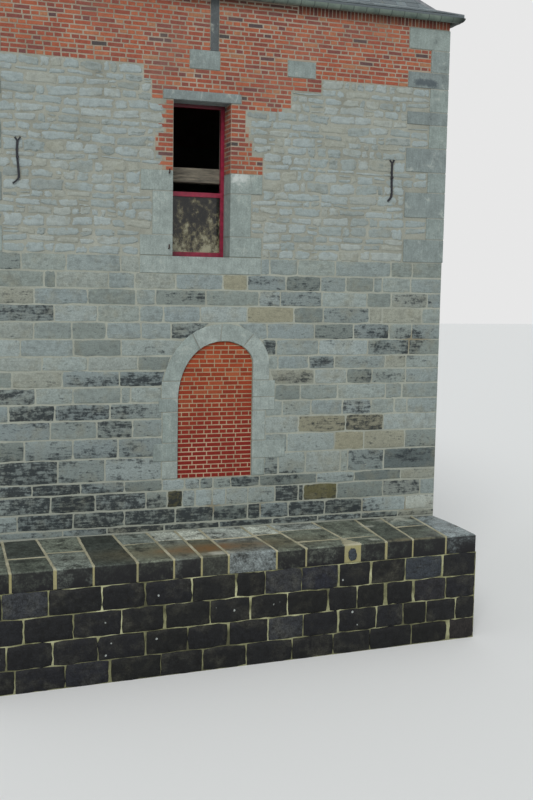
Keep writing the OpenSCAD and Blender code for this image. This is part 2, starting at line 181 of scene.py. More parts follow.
def join(name, points, material, slot, body="root", **values):
    """One mesh of many like stones: quads between neighbours on each grid, and a face behind shuts its rim.

    Each value is an attribute of the points, one number a stone or one a point.
    """
    count, n_s, n_t, _ = points.shape
    index = np.arange(n_s * n_t).reshape(n_s, n_t)
    quads = np.stack([index[:-1, :-1], index[1:, :-1], index[1:, 1:], index[:-1, 1:]], -1).reshape(-1, 4)
    back = np.concatenate([index[0], index[1:, -1], index[-1, -2::-1], index[-2:0:-1, 0]])
    loops = np.arange(count)[:, None] * n_s * n_t + np.concatenate([quads.ravel(), back])
    sizes = np.tile(np.append(np.full(len(quads), 4), len(back)), count)
    mesh = bpy.data.meshes.new(name)
    mesh.vertices.add(count * n_s * n_t)
    mesh.vertices.foreach_set("co", points.astype(np.float32).ravel())
    mesh.loops.add(loops.size)
    mesh.loops.foreach_set("vertex_index", loops.astype(np.int32).ravel())
    mesh.polygons.add(sizes.size)
    mesh.polygons.foreach_set("loop_start", (np.cumsum(sizes) - sizes).astype(np.int32))
    mesh.update(calc_edges=True)
    mesh.shade_smooth()
    mesh.set_sharp_from_angle(angle=math.radians(50))
    for key, value in values.items():
        value = np.asarray(value, np.float32)
        value = np.broadcast_to(value.reshape(count, *value.shape[1:] or (1, 1)), (count, n_s, n_t))
        mesh.attributes.new(key, "FLOAT", "POINT").data.foreach_set("value", value.flatten())
    mesh.materials.append(material)
    piece = stand(name, mesh)
    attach(piece, body)
    return piece


def boxes(cells):
    """Corners of four-cornered patches from (left, right, bottom, top), one row each."""
    left, right, low, high = np.asarray(cells, float).T
    return np.stack([
        np.stack([left, low], -1), np.stack([right, low], -1),
        np.stack([right, high], -1), np.stack([left, high], -1)
    ], 1)


def weathered(material, surface, *patterns):
    """A colour whose brightness follows patterns.

    Each is a noise that runs from 0.3 to 0.7, and scales the brightness by 1 - half to 1 + half.
    """
    for noise, half in patterns:
        factor = add(material, "MapRange", {"Value": noise, "From Min": 0.3, "From Max": 0.7,
                                            "To Min": 1 - half, "To Max": 1 + half})
        surface = add(material, "HueSaturation", {"Value": factor.outputs["Result"], "Color": surface})
        surface = surface.outputs["Color"]
    return surface


def stone_finish(name, tones, roughness, mottling, bedding, crust, mortar=None, lap=0.3, specks=0.0, ior=1.5,
                 depth=0.008, warm=0.0):
    """Natural limestone: a tone for each stone, bedding, mottling, dark crusts and mortar over its edges.

    Bedding lies level and is 10 to 40 mm thick, and the mottling is 60 mm across. The grit is 16 mm, coarser
    than the real 1 mm, so that it shows. Lime specks lie a quarter of a metre apart, and specks is their
    radius as a share of that. Crust is the colour of the stains, warm the most of the buff in the grey, lap
    how raggedly the mortar covers the edges, and depth the depth of the relief.
    """
    material = finish(name)
    spot = add(material, "TexCoord").outputs["Object"]
    tone = add(material, "Attribute", attribute_name="tone").outputs["Fac"]
    shift = add(material, "VectorMath", {0: (37.0, 59.0, 83.0), "Scale": tone}, operation="SCALE")
    own = add(material, "VectorMath", {0: spot, 1: shift.outputs["Vector"]}).outputs["Vector"]
    flat = add(material, "Mapping", {"Vector": own, "Scale": (1.0, 1.0, 6.0)}).outputs["Vector"]
    beds = add(material, "TexNoise", {"Vector": flat, "Scale": 6.0, "Detail": 8.0, "Roughness": 0.7})
    mottle = add(material, "TexNoise", {"Vector": own, "Scale": 13.0, "Detail": 8.0, "Roughness": 0.72})
    grit = add(material, "TexNoise", {"Vector": own, "Scale": 60.0, "Detail": 3.0, "Roughness": 0.65})
    base = add(material, "ValToRGB", {"Fac": tone}, stops=tones)
    buff = add(material, "TexNoise", {"Vector": own, "Scale": 4.0, "Detail": 6.0, "Roughness": 0.6})
    surface = over(material, base.outputs["Color"], "#7f7d6a", buff.outputs["Fac"], 0.5, 0.7, warm)
    soiled = add(material, "Attribute", attribute_name="stain").outputs["Fac"]
    ragged = add(material, "MapRange", {"Value": mottle.outputs["Fac"], "From Min": 0.32, "From Max": 0.68,
                                        "To Min": -0.6, "To Max": 0.6})
    level = add(material, "MapRange", {"Value": beds.outputs["Fac"], "From Min": 0.3, "From Max": 0.7,
                                       "To Min": -0.55, "To Max": 0.55})
    reach = add(material, "Math", {0: ragged.outputs["Result"], 1: level.outputs["Result"]}, operation="ADD")
    reach = add(material, "Math", {0: soiled, 1: reach.outputs["Value"]}, operation="ADD")
    surface = over(material, surface, crust, reach.outputs["Value"], 0.4, 1.1, 0.93)
    surface = weathered(material, surface, (mottle.outputs["Fac"], mottling),
                        (grit.outputs["Fac"], mottling * 0.6), (beds.outputs["Fac"], bedding))
    if specks:
        torn = add(material, "VectorMath", {0: mottle.outputs["Color"], "Scale": 0.06}, operation="SCALE")
        torn = add(material, "VectorMath", {0: spot, 1: torn.outputs["Vector"]})
        splash = add(material, "TexVoronoi", {"Vector": torn.outputs["Vector"], "Scale": 4.0})
        surface = over(material, surface, "#aab0ab", splash.outputs["Distance"], specks * 1.4, specks, 0.8)
    if mortar:
        edge = add(material, "Attribute", attribute_name="edge").outputs["Fac"]
        smear = add(material, "TexNoise", {"Vector": own, "Scale": 16.0, "Detail": 5.0, "Roughness": 0.6})
        limit = add(material, "MapRange", {"Value": smear.outputs["Fac"], "From Min": 0.3, "From Max": 0.7,
                                           "To Min": -lap, "To Max": lap})
        covered = add(material, "Math", {0: edge, 1: limit.outputs["Result"]}, operation="ADD")
        surface = over(material, surface, mortar, covered.outputs["Value"], 0.6, 1.0, 0.9)
    relief = add(material, "Math", {0: grit.outputs["Fac"], 1: 0.3, 2: mottle.outputs["Fac"]},
                 operation="MULTIPLY_ADD")
    coat(material, surface, roughness, (relief.outputs["Value"], 0.6, depth), {"IOR": ior})
    return material


def mortar_finish(name, tones, low_tint, low_z, high_z, share=0.8, rusty=()):
    """Lime mortar: sandy, cloudy over half a metre, and tinted by up to about half of share below a height.

    The sand is 2 to 4 mm, drawn at 20 mm and finer so that it shows. Rusty places are points and their
    reach, brown from iron that rusts in the wall.
    """
    material = finish(name)
    spot = add(material, "TexCoord").outputs["Object"]
    cloud = add(material, "TexNoise", {"Vector": spot, "Scale": 2.3, "Detail": 7.0, "Roughness": 0.6})
    sand = add(material, "TexNoise", {"Vector": spot, "Scale": 50.0, "Detail": 4.0, "Roughness": 0.75})
    base = add(material, "ValToRGB", {"Fac": cloud.outputs["Fac"]}, stops=tones)
    height = add(material, "SeparateXYZ", {"Vector": spot}).outputs["Z"]
    low = add(material, "MapRange", {"Value": height, "From Min": high_z, "From Max": low_z, "To Max": share})
    wavy = add(material, "Math", {0: low.outputs["Result"], 1: cloud.outputs["Fac"]}, operation="MULTIPLY")
    grains = over(material, base.outputs["Color"], low_tint, wavy.outputs["Value"])
    grains = weathered(material, grains, (cloud.outputs["Fac"], 0.08), (sand.outputs["Fac"], 0.13))
    for point, reach in rusty:
        away = add(material, "VectorMath", {0: spot, 1: point}, operation="DISTANCE")
        grains = over(material, grains, "#76694c", away.outputs["Value"], reach, reach / 3, 0.6)
    coat(material, grains, 0.95, (sand.outputs["Fac"], 0.6, 0.004))
    return material


def paint_node(node, material):
    """Gives a CAD node its finish."""
    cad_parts[node].data.materials.clear()
    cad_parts[node].data.materials.append(material)


# Wet blue limestone, split: near black under a film of water, which reflects less than the dry stone.
plinth_stone = stone_finish(
    "wet_split_limestone",
    [(0.0, "#0c0d0b"), (0.3, "#141519"), (0.55, "#111211"), (0.8, "#1c1e25"), (0.94, "#231f1c"),
     (1.0, "#343a40")],
    0.5, 0.95, 0.4, "#0b0c0b", specks=0.045, ior=1.33, depth=0.02, warm=0.12
)
# Hydraulic lime mortar, yellow from its sand.
plinth_mortar = mortar_finish(
    "yellow_hydraulic_mortar", [(0.38, "#4a4a33"), (0.5, "#80805d"), (0.64, "#b7b791")], "#5b5b43", 0.0, 1.0
)
paint_node("plinth", plinth_mortar)

front_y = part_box("front_wall_lower")[0].y
half_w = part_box("front_wall_lower")[1].x
plinth_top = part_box("plinth_slabs")[1].z
slab_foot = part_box("plinth_slabs")[0].z
plan = np.array([v.co.to_tuple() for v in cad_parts["plinth"].data.vertices])
left_front = np.array([-half_w, plan[np.abs(plan[:, 0] + half_w) < 0.01, 1].min(), 0])
right_front = np.array([half_w, plan[np.abs(plan[:, 0] - half_w) < 0.01, 1].min(), 0])
front_run = right_front - left_front
front_length = np.linalg.norm(front_run)
slant = front_length / (2 * half_w)
front_plane = on_plane(left_front, front_run / front_length)
draw = np.random.default_rng(11)

# Beds from the foot up, and the width of the bed joints.
plinth_courses = np.array([0.0, 0.295, 0.605, 0.92, slab_foot])
bed_joint = 0.005
# Uprights of the front courses that the photograph shows, from the foot up, measured from the middle.
plinth_uprights = [
    [-2.9, -2.3, -1.75, -1.1, -0.55, 0.05, 0.7, 1.3, 1.85, 2.5, 3.08],
    [-3.0, -2.45, -1.9, -1.3, -0.75, -0.2, 0.35, 0.85, 1.37, 1.94, 2.36, 2.72, 3.19],
    [-2.8, -2.2, -1.6, -1.05, -0.45, 0.1, 0.62, 1.21, 1.64, 2.07, 2.51, 3.02],
    [-3.05, -2.5, -1.85, -1.3, -0.7, -0.1, 0.3, 0.82, 1.36, 1.84, 2.37, 2.96],
]


def coursed(levels, uprights, start, stop, joint, least=0.08):
    """Cells of plain courses from start to stop, with a joint round each stone, and none under least long."""
    cells = []
    for low, high, cuts in zip(levels[:-1], levels[1:], uprights):
        inside = np.sort([c for c in cuts if start + least < c < stop - least])
        ends = np.concatenate([[start], inside, [stop]])
        for left, right in zip(ends[:-1], ends[1:]):
            cells.append([left + joint / 2, right - joint / 2, low + joint / 2, high - joint / 2])
    return cells


def random_cuts(start, stop, mean, spread, draw):
    """Places of the uprights of one course: steps of about the mean length, from a random first one."""
    steps = np.clip(draw.normal(mean, spread, int((stop - start) / mean * 2) + 4), mean * 0.45, mean * 1.9)
    return start + draw.uniform(0.3, 1.0) * mean + np.cumsum(steps) - steps[0]


# Those that have washed out and were filled again wide, as course, place and width.
wide_uprights = {
    (3, 1.36): 0.019, (3, 1.84): 0.03, (3, 2.96): 0.03, (2, 1.21): 0.024, (2, 2.07): 0.045, (2, 2.51): 0.03,
    (1, 1.37): 0.018, (0, 3.08): 0.05, (3, -0.1): 0.024, (2, -1.05): 0.03, (1, -0.2): 0.024, (0, -1.75): 0.03,
}
# A split face: its edge stands 1 mm out of the mortar and its middle 10 mm. On average, each end has lost
# the thickness chipped.
split_rim = [(0.0, -0.02), (0.0015, 0.001), (0.015, 0.010)]
chipped = 0.0025
block_groups = []
block_cells = []
for k, cuts in enumerate(plinth_uprights):
    ends = [-half_w, *cuts, half_w]
    for left, right in zip(ends[:-1], ends[1:]):
        block_cells.append([
            (left + half_w) * slant + wide_uprights.get((k, left), bed_joint) / 2,
            (right + half_w) * slant - wide_uprights.get((k, right), bed_joint) / 2,
            plinth_courses[k] + bed_joint / 2, plinth_courses[k + 1] - bed_joint / 2
        ])
block_cells = np.array(block_cells)
block_cells[:, 0] += draw.exponential(chipped, len(block_cells))
block_cells[:, 1] -= draw.exponential(chipped, len(block_cells))
block_groups.append(shells(boxes(block_cells), split_rim, front_plane, draw,
                           inner=(4, 3), wander=0.0045, rough=0.0024, tilt=0.002, soften=0.007))
# The two short ends of the plinth, left and right.
for origin, along, length in (
    ((-half_w, front_y, 0), (0, -1, 0), front_y - left_front[1]),
    (tuple(right_front), (0, 1, 0), front_y - right_front[1]),
):
    cuts = [random_cuts(0, length, 0.5, 0.1, draw) for _ in plinth_courses[:-1]]
    cells = coursed(plinth_courses, cuts, 0.0, length, bed_joint)
    block_groups.append(shells(boxes(cells), split_rim, on_plane(origin, along), draw,
                               inner=(4, 3), wander=0.003, rough=0.0022, tilt=0.002, soften=0.004))
blocks = np.concatenate(block_groups)
join("plinth_blocks", blocks, plinth_stone, "plinth_stone",
     tone=draw.random(len(blocks)) ** 1.3, stain=draw.random(len(blocks)) * 0.5)

# Capping slabs of the plinth
# Thick slabs of the same stone, worn by feet and by wet, rusty where iron has dripped on them.
# They lie on the blocks across the whole depth, split once or twice, with mortar swept into the joints.
slab_stone = finish("worn_capping_slabs")
spot = add(slab_stone, "TexCoord").outputs["Object"]
tone = add(slab_stone, "Attribute", attribute_name="tone").outputs["Fac"]
base = add(slab_stone, "ValToRGB", {"Fac": tone}, stops=[
    (0.0, "#383d38"), (0.25, "#53594f"), (0.5, "#676d61"), (0.75, "#767f7f"), (1.0, "#a9aea2")
])
cloud = add(slab_stone, "TexNoise", {"Vector": spot, "Scale": 5.0, "Detail": 10.0, "Roughness": 0.74})
fine = add(slab_stone, "TexNoise", {"Vector": spot, "Scale": 40.0, "Detail": 4.0, "Roughness": 0.7})
surface = weathered(slab_stone, base.outputs["Color"], (cloud.outputs["Fac"], 1.0),
                    (fine.outputs["Fac"], 0.55))
# Thin rust over a wide area, thick rust in the middle of it, and lime. Each follows its attribute times the
# clouds: none where that is the first number, and the third number of it where that is the second.
for name, start, full, most, code in (
    ("rust", 0.02, 0.5, 0.65, "#6b6248"),
    ("rust", 0.48, 0.85, 0.8, "#73532f"),
    ("lime", 0.2, 0.5, 0.85, "#b4b6a8")
):
    share = add(slab_stone, "Attribute", attribute_name=name).outputs["Fac"]
    patchy = add(slab_stone, "Math", {0: share, 1: cloud.outputs["Fac"]}, operation="MULTIPLY")
    surface = over(slab_stone, surface, code, patchy.outputs["Value"], start, full, most)
surface = over(slab_stone, surface, "#2f322e", cloud.outputs["Fac"], 0.46, 0.37, 0.75)
dark = add(slab_stone, "Attribute", attribute_name="stain").outputs["Fac"]
blotch = add(slab_stone, "MapRange", {"Value": cloud.outputs["Fac"], "From Min": 0.62, "From Max": 0.5,
                                      "To Min": 0.8, "To Max": 1.0})
dark = add(slab_stone, "Math", {0: dark, 1: blotch.outputs["Result"]}, operation="MULTIPLY")
surface = over(slab_stone, surface, "#141416", dark.outputs["Value"])
coat(slab_stone, surface, 0.55, (cloud.outputs["Fac"], 0.6, 0.008), {"IOR": 1.33})

# The slabs from the right: place of each one's left end at the front and at the wall, and the shares of its
# depth at which it is split, counted from the front.
slabs = [
    (3.008, 3.13, []), (2.483, 2.62, [0.55]), (2.065, 2.2, []), (1.565, 1.52, [0.25]),
    (0.882, 0.82, [0.25, 0.7]), (0.462, 0.42, [0.62]), (-0.202, -0.2, [0.58]), (-0.566, -0.55, [0.61]),
    (-0.93, -0.95, [0.64]), (-1.4, -1.42, [0.6]), (-1.95, -1.9, []), (-2.42, -2.45, [0.5]),
    (-2.95, -2.9, [0.4]), (-half_w, -half_w, [])
]
# Slabs that are pale all over, and those whose front face is less black than the others, by their numbers.
pale_slabs = (0, 6)
front_black = {6: 0.35, 7: 0.7}
# The gap that has broken out of the front edge, filled with mortar round one small stone. It lies at
# the left end of the slab with this number, and its depth is a share of the plinth's.
gap_slab, gap_left, gap_right, gap_depth = 3, 1.445, 1.684, 0.25


def front_of(x):
    """Depth of the plinth's front edge at x: a straight line between its two front corners."""
    return left_front[1] + (x + half_w) / (2 * half_w) * (right_front[1] - left_front[1])


# The corners of each slab or part of one, its ends on straight lines from the front edge to the wall.
flag_joint = 0.010
flags, flag_tones, face_dark = [], [], []
right_end = (half_w, half_w)
for n, (at_front, at_wall, splits) in enumerate(slabs):
    for low, high in zip([0.0] + splits, splits + [1.0]):
        corners = []
        for share, back in ((low, False), (high, True)):
            left = at_front * (1 - share) + at_wall * share
            right = right_end[0] * (1 - share) + right_end[1] * share
            if share == 0 and n == gap_slab:
                left = gap_right - flag_joint / 2
            if share == 0 and n == gap_slab + 1:
                right = gap_left + flag_joint / 2
            left += flag_joint / 2 if n < len(slabs) - 1 else 0
            right -= flag_joint / 2 if n else 0
            inset = 0 if share in (0.0, 1.0) else flag_joint / 2 * (-1 if back else 1)
            row = [[x, front_of(x) * (1 - share) + front_y * share + inset] for x in (left, right)]
            corners += row[::-1] if back else row
        flags.append(corners)
        if high == 1 and -1 < at_front < 1.3:
            flag_tones.append(draw.uniform(0.85, 1.0))
        elif n in pale_slabs:
            flag_tones.append(0.75)
        else:
            flag_tones.append(draw.uniform(0, 0.62))
        face_dark.append(front_black.get(n, 1.0))
    right_end = (at_front, at_wall)
flags = np.array(flags)
thick = plinth_top - slab_foot
flag_rim = [(0.0, -thick + 0.004), (0.0, -thick + 0.03), (0.0, -0.03), (0.004, -0.009), (0.016, -0.001)]
top_plane = on_plane((0, 0, plinth_top), (1, 0, 0), (0, 1, 0))
flag_points = shells(flags, flag_rim, top_plane, draw, inner=(7, 9), rough=0.0012, tilt=0.0015, soften=0.008)
x, y, z = flag_points[..., 0], flag_points[..., 1], flag_points[..., 2]
# The tops are worn hollow by up to 12 mm, in gentle waves.
on_top = z > plinth_top - 0.02
flag_points[..., 2] -= np.where(on_top, 0.006 * (1 + np.sin(3.1 * x + 1) * np.sin(4.3 * y)), 0)


def bell(across, up, middle, reach):
    """A soft spot, exp(-((x - mx) / rx)^2 - ((y - my) / ry)^2): 1 in the middle, a third at its reach."""
    return np.exp(-((across - middle[0]) / reach[0]) ** 2 - ((up - middle[1]) / reach[1]) ** 2)


# Rust that dripped from old ironwork and runs along the broken edge, lime splashed near the front edge, and
# three limy places near the wall. The places near the wall are counted out from it, the others in from the
# front edge.
from_edge = y - front_of(x)
on_top = z > plinth_top - 0.02
drip = 1.6 * bell(x, from_edge, (-0.3, 0.42), (1.2, 0.3))
drip = np.maximum(drip, 1.1 * bell(x, from_edge, (2.45, 0.0), (0.5, 0.03)) * on_top)
foot = 0.9 * bell(x, from_edge, (-0.3, 0.13), (0.3, 0.12))
for middle, reach in (((2.75, 0.1), (0.4, 0.22)), ((2.2, 0.4), (0.16, 0.1)), ((1.95, 1.2), (0.1, 0.1))):
    foot = np.maximum(foot, bell(x, front_y - y, middle, reach))
# Their upright faces are black, from 12 mm below the top on.
join("plinth_flags", flag_points, slab_stone, "plinth_slab", tone=np.array(flag_tones), rust=drip, lime=foot,
     stain=np.clip((plinth_top - 0.012 - z) / 0.02, 0, 1) * np.array(face_dark)[:, None, None])
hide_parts("plinth_slabs")

# The mortar between the slabs, pressed in and swept flat a little below the worn tops.
strips, lap, end_lap = [], 0.02, 0.01
for n, (at_front, at_wall, splits) in enumerate(slabs[:-1]):
    if n == gap_slab:
        meet = at_front * (1 - gap_depth) + at_wall * gap_depth
        deep = front_of(meet) * (1 - gap_depth) + front_y * gap_depth
        at_left, at_right = front_of(gap_left) + 0.004, front_of(gap_right) + 0.004
        strips.append([[gap_left - lap, at_left], [gap_right + lap, at_right],
                       [meet + lap, deep], [meet - lap, deep]])
    edge = front_of(at_front) + end_lap
    strips.append([[at_front - lap, edge], [at_front + lap, edge],
                   [at_wall + lap, front_y], [at_wall - lap, front_y]])
for cell in flags[flags[:, 2, 1] < front_y - 0.01]:
    (x_low, y_left), (x_high, y_right) = cell[3], cell[2]
    strips.append([[x_low, y_left - end_lap], [x_high, y_right - end_lap],
                   [x_high, y_right + flag_joint + end_lap], [x_low, y_left + flag_joint + end_lap]])
strip_rim = [(0.0, -thick + 0.004), (0.0, -0.014), (0.006, -0.0035)]
strip_points = shells(np.array(strips), strip_rim, top_plane, draw, inner=(1, 15), wander=0.009, rough=0.002)
# The same lime, washed paler by the rain.
swept_mortar = mortar_finish(
    "washed_slab_mortar", [(0.3, "#87846c"), (0.5, "#9f9b82"), (0.75, "#b7b39d")], "#8a8459",
    plinth_top - 0.035, plinth_top - 0.012, 1.5
)
join("plinth_pointing", strip_points, swept_mortar, "plinth_slab")
# The small stone in the broken gap, split like the blocks below.
stone_foot, stone_top, stone_left, stone_right = slab_foot + 0.03, plinth_top - 0.06, 1.5, 1.62
along_front = [(x + half_w) * slant for x in (stone_left, stone_right)]
gap_stone = shells(boxes([[*along_front, stone_foot, stone_top]]), split_rim, front_plane, draw,
                   wander=0.006, rough=0.003, soften=0.03)
join("gap_stone", gap_stone, plinth_stone, "plinth_stone", tone=[1.0], stain=[0.0])

# Walls
# Rubble-cored walls with a face of squared ashlar up to the windows, then roughly coursed rubble.
# Grey-blue and buff limestone, flush pointed with a pale lime mortar that laps over the stones' edges.

# Places where old ironwork has left rust in the front wall's mortar, as x, z and reach.
wall_rust = [(3.0, 4.12, 0.2), (3.2, 4.19, 0.22), (0.0, 1.8, 0.14), (0.74, 1.75, 0.1), (2.4, 1.7, 0.14),
             (3.06, 1.68, 0.16)]
wall_mortar = mortar_finish(
    "pale_lime_mortar", [(0.3, "#828378"), (0.5, "#8e9085"), (0.75, "#989a8f")], "#999d91", 5.1, 5.5, 1.5,
    [((x, front_y, z), reach) for x, z, reach in wall_rust]
)
for node in ("front_wall_lower", "front_wall_upper", "right_wall", "left_wall", "back_wall"):
    paint_node(node, wall_mortar)

# Squared limestone, weathered: grey and blue-grey, some buff, with black crusts along the beds.
ashlar_stone = stone_finish(
    "weathered_ashlar",
    [(0.0, "#5a5739"), (0.04, "#596362"), (0.12, "#69726e"), (0.28, "#7b847e"), (0.45, "#7e8988"),
     (0.6, "#848d87"), (0.72, "#909b99"), (0.8, "#868d86"), (0.88, "#8b8d7f"), (0.94, "#898772"),
     (1.0, "#a6aca3")],
    0.85, 0.3, 0.2, "#131b20", mortar="#8f9286", lap=0.55, warm=0.45
)
# Rubble of the same stone, paler, its edges lost in the pointing.
rubble_stone = stone_finish(
    "pale_rubble",
    [(0.0, "#858d89"), (0.2, "#8f9a98"), (0.5, "#939e9d"), (0.8, "#98a19e"), (1.0, "#94978c")],
    0.9, 0.18, 0.12, "#6b736f", mortar="#8b8d82", lap=0.9, depth=0.02, warm=0.4
)

rubble_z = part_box("front_wall_lower")[1].z
band_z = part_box("front_wall_upper")[1].z
wall_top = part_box("front_brick_band")[1].z
back_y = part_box("back_wall")[1].y
middle_y = (front_y + back_y) / 2
half_d = (back_y - front_y) / 2
# The walls: where each one's middle lies at its foot, its direction to the right, and half its length.
SIDES = {
    "front": ((0, front_y, 0), (1, 0, 0), half_w),
    "right": ((half_w, middle_y, 0), (0, 1, 0), half_d),
    "back": ((0, back_y, 0), (-1, 0, 0), half_w),
    "left": ((-half_w, middle_y, 0), (0, -1, 0), half_d),
}
# CAD nodes that take room in the masonry of each wall.
DRESSED = {
    "front": ["quoins_front_left", "quoins_front_right", "front_window_jambs", "front_window_lintel",
              "front_window_sill", "front_window_frame", "arch_stones", "arch_brick_infill",
              "wall_blocks", "wall_post"],
    "right": ["quoins_front_right", "quoins_back_right", "right_window_stones", "right_window_frame"],
    "back": ["quoins_back_left", "quoins_back_right", "back_window_stones", "back_window_frame"],
    "left": ["quoins_front_left", "quoins_back_left", "left_window_stones", "left_window_frame"],
}


def merged(spans):
    """The same stretches with those joined that overlap or lie within a joint of each other."""
    joined = []
    for low, high in sorted(spans):
        if joined and low <= joined[-1][1] + 0.02:
            joined[-1][1] = max(joined[-1][1], high)
        else:
            joined.append([low, high])
    return joined


def spans_at(nodes, z, side):
    """Stretches of a wall that nodes take at a height: where the plane at z cuts their triangles' edges."""
    origin, along, _ = SIDES[side]
    found = []
    for node in nodes:
        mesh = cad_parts[node].data
        co = np.empty(len(mesh.vertices) * 3)
        mesh.vertices.foreach_get("co", co)
        mesh.calc_loop_triangles()
        tri = np.empty(len(mesh.loop_triangles) * 3, np.int32)
        mesh.loop_triangles.foreach_get("vertices", tri)
        points = co.reshape(-1, 3)[tri.reshape(-1, 3)]
        across = (points - np.asarray(origin)) @ np.asarray(along)
        up = points[..., 2] - z
        cut = []
        for a, b in ((0, 1), (1, 2), (2, 0)):
            crossing = up[:, a] * up[:, b] < 0
            part = np.where(crossing, up[:, a] / np.where(crossing, up[:, a] - up[:, b], 1), np.nan)
            cut.append(across[:, a] + part * (across[:, b] - across[:, a]))
        cut = np.array(cut)
        cut = cut[:, ~np.isnan(cut).all(0)]
        # A window's frame takes all of its width, the panes too.
        if cut.size and "frame" in node:
            found.append((np.nanmin(cut), np.nanmax(cut)))
        elif cut.size:
            found += list(zip(np.nanmin(cut, 0), np.nanmax(cut, 0)))
    return merged(found)


def between(taken, start, stop, least=0.05):
    """What is left between start and stop when the stretches in taken are cut out."""
    free, place = [], start
    for low, high in sorted(taken) + [[stop, stop]]:
        if low - place > least:
            free.append((place, min(low, stop)))
        place = max(place, high)
    return [(a, b) for a, b in free if b - a > least]


def upright(stretches, inset=0.0):
    """Stretches with upright ends, given as left and right ends, each at its foot and its top."""
    return [(a + inset, a + inset, b - inset, b - inset) for a, b in stretches]


def free_spans(side, low, high, start, stop):
    """Stretches of a course that no dressed stone takes, their ends slanting where the arch is round."""
    levels = np.linspace(low + 0.012, high - 0.012, 4)
    beside_arch = side == "front" and arch_foot < high < spring_z
    over_spring = side == "front" and spring_z <= high < arch_top + 0.02
    if over_spring:
        levels[-1] = min(levels[-1], arch_top - 0.02)
    cuts = [spans_at(DRESSED[side], z, side) for z in levels]
    if beside_arch:
        return upright(merged([span for cut in cuts for span in between(cut, start, stop)]))
    if over_spring:
        free = between(spans_at(DRESSED[side], (low + high) / 2, side), start, stop)
        ends = [[e for span in cut for e in span] + [start, stop] for cut in (cuts[0], cuts[-1])]
        near = [[min(es, key=lambda e: abs(e - x)) for es in ends] for span in free for x in span]
        return [(*near[i], *near[i + 1]) for i in range(0, len(near), 2)]
    return upright(between([span for cut in cuts for span in cut], start, stop))


def cut_cells(ends, cuts, low, high, joint):
    """Corners of the stones between a slanting left end, the upright cuts and a slanting right end."""
    left_low, left_high, right_low, right_high = ends
    lows, highs = np.array([left_low, *cuts, right_low]), np.array([left_high, *cuts, right_high])
    half = joint / 2
    return [[[lows[i] + half, low + half], [lows[i + 1] - half, low + half],
             [highs[i + 1] - half, high - half], [highs[i] + half, high - half]]
            for i in range(len(lows) - 1)]


def cut_course(spans, cuts, low, high, joint, least=0.1):
    """Corners of the stones of one course: its free spans, cut at the uprights clear of their ends."""
    corners = []
    for ends in spans:
        start, stop = max(ends[:2]) + least, min(ends[2:]) - least
        corners += cut_cells(ends, [c for c in cuts if start < c < stop], low, high, joint)
    return corners


arch_foot, arch_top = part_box("arch_stones")[0].z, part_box("arch_stones")[1].z
# Above this height the ends of the courses follow the round of the arch.
spring_z = 3.59
# Courses of the ashlar, from the window sill down: top of the course, then the uprights on the front.
COURSES = [
    (5.30, [-2.62, -2.04, -1.32, 0.79, 1.21, 1.79, 2.67, 3.02]),
    (5.07, [-2.33, -2.18, -1.48, -1.13, -0.56, 0.11, 0.47, 1.04, 1.57, 1.96, 2.4, 2.54, 3.0]),
    (4.85, [-2.46, -1.76, -1.11, -0.84, -0.13, 0.64, 0.96, 1.59, 2.3, 2.69, 3.28]),
    (4.63, [-2.2, -1.63, -1.06, -0.73, -0.21, 0.47, 1.17, 1.62, 2.34, 2.55]),
    (4.40, [-2.47, -1.97, -1.51, -1.04, -0.62, 0.77, 1.49, 2.1, 2.67, 3.04]),
    (4.17, [-2.64, -1.95, -1.31, 0.91, 1.56, 2.33, 3.0]),
    (3.94, [-2.36, -1.76, -1.08, 0.94, 1.41, 1.81, 2.62, 2.96]),
    (3.745, [-2.75, -2.1, -1.33, 0.91, 1.5, 2.01, 2.41, 2.96]),
    (3.525, [-2.45, -1.96, -1.31, -1.18, 0.94, 1.29, 1.87, 2.64, 2.91]),
    (3.30, [-2.8, -2.2, -1.46, 1.02, 1.46, 1.95, 2.41, 2.79, 3.0]),
    (3.075, [-2.26, -1.64, -1.15, 0.78, 1.27, 2.01, 2.62]),
    (2.825, [-2.6, -1.96, -1.35, 1.1, 1.84, 2.31, 2.98]),
    (2.55, [-2.16, -1.53, 0.7, 0.97, 1.39, 1.94, 2.06, 2.64]),
    (2.23, [-2.5, -1.86, -1.26, -0.73, -0.41, -0.19, 0.0, 0.26, 0.69, 1.57, 2.17, 2.93]),
    (2.07, [-2.26, -1.66, -0.96, -0.66, -0.44, -0.26, -0.01, 0.19, 0.52, 0.93, 1.29, 1.37, 1.9, 2.64, 3.26]),
    (1.825, [-2.7, -1.96, -1.26, -0.54, 0.01, 0.52, 0.71, 1.14, 1.71, 2.31, 3.02]),
    (1.60, [-2.9, -2.1, -1.5, -0.7, 0.1, 0.9, 1.6, 2.3, 2.9]),
    (1.50, []), (1.26, []), (1.0, []), (0.75, []), (0.49, []), (0.24, []), (0.0, [])
]
ashlar_joint = 0.008
ashlar_rim = [(0.0, -0.012), (0.006, 0.001), (0.018, 0.004)]
arris_r = 0.012
# A corner stone reaches so far along one wall and so far along the other.
long_end, short_end = 0.55, 0.3
draw = np.random.default_rng(23)


def round_corner(corner, along):
    """Wraps wall coordinates round an outer corner at x = 0: along one wall to it, then along the next.

    The arris is a quarter circle of radius arris_r, so a point's distance over the wall is kept round it.
    """
    along = np.asarray(along, float)
    out = np.cross(along, (0, 0, 1))
    middle = np.asarray(corner) - arris_r * along - arris_r * out

    def place(x, z, w):
        turn = np.clip((x + arris_r) / (2 * arris_r), 0, 1)[..., None] * math.pi / 2
        reach = np.maximum(arris_r + w, 0.001)[..., None]
        first, second = np.minimum(x + arris_r, 0)[..., None], np.maximum(x - arris_r, 0)[..., None]
        flat = middle + first * along - second * out + reach * (np.cos(turn) * out + np.sin(turn) * along)
        return flat + z[..., None] * np.array([0, 0, 1.0])
    return place


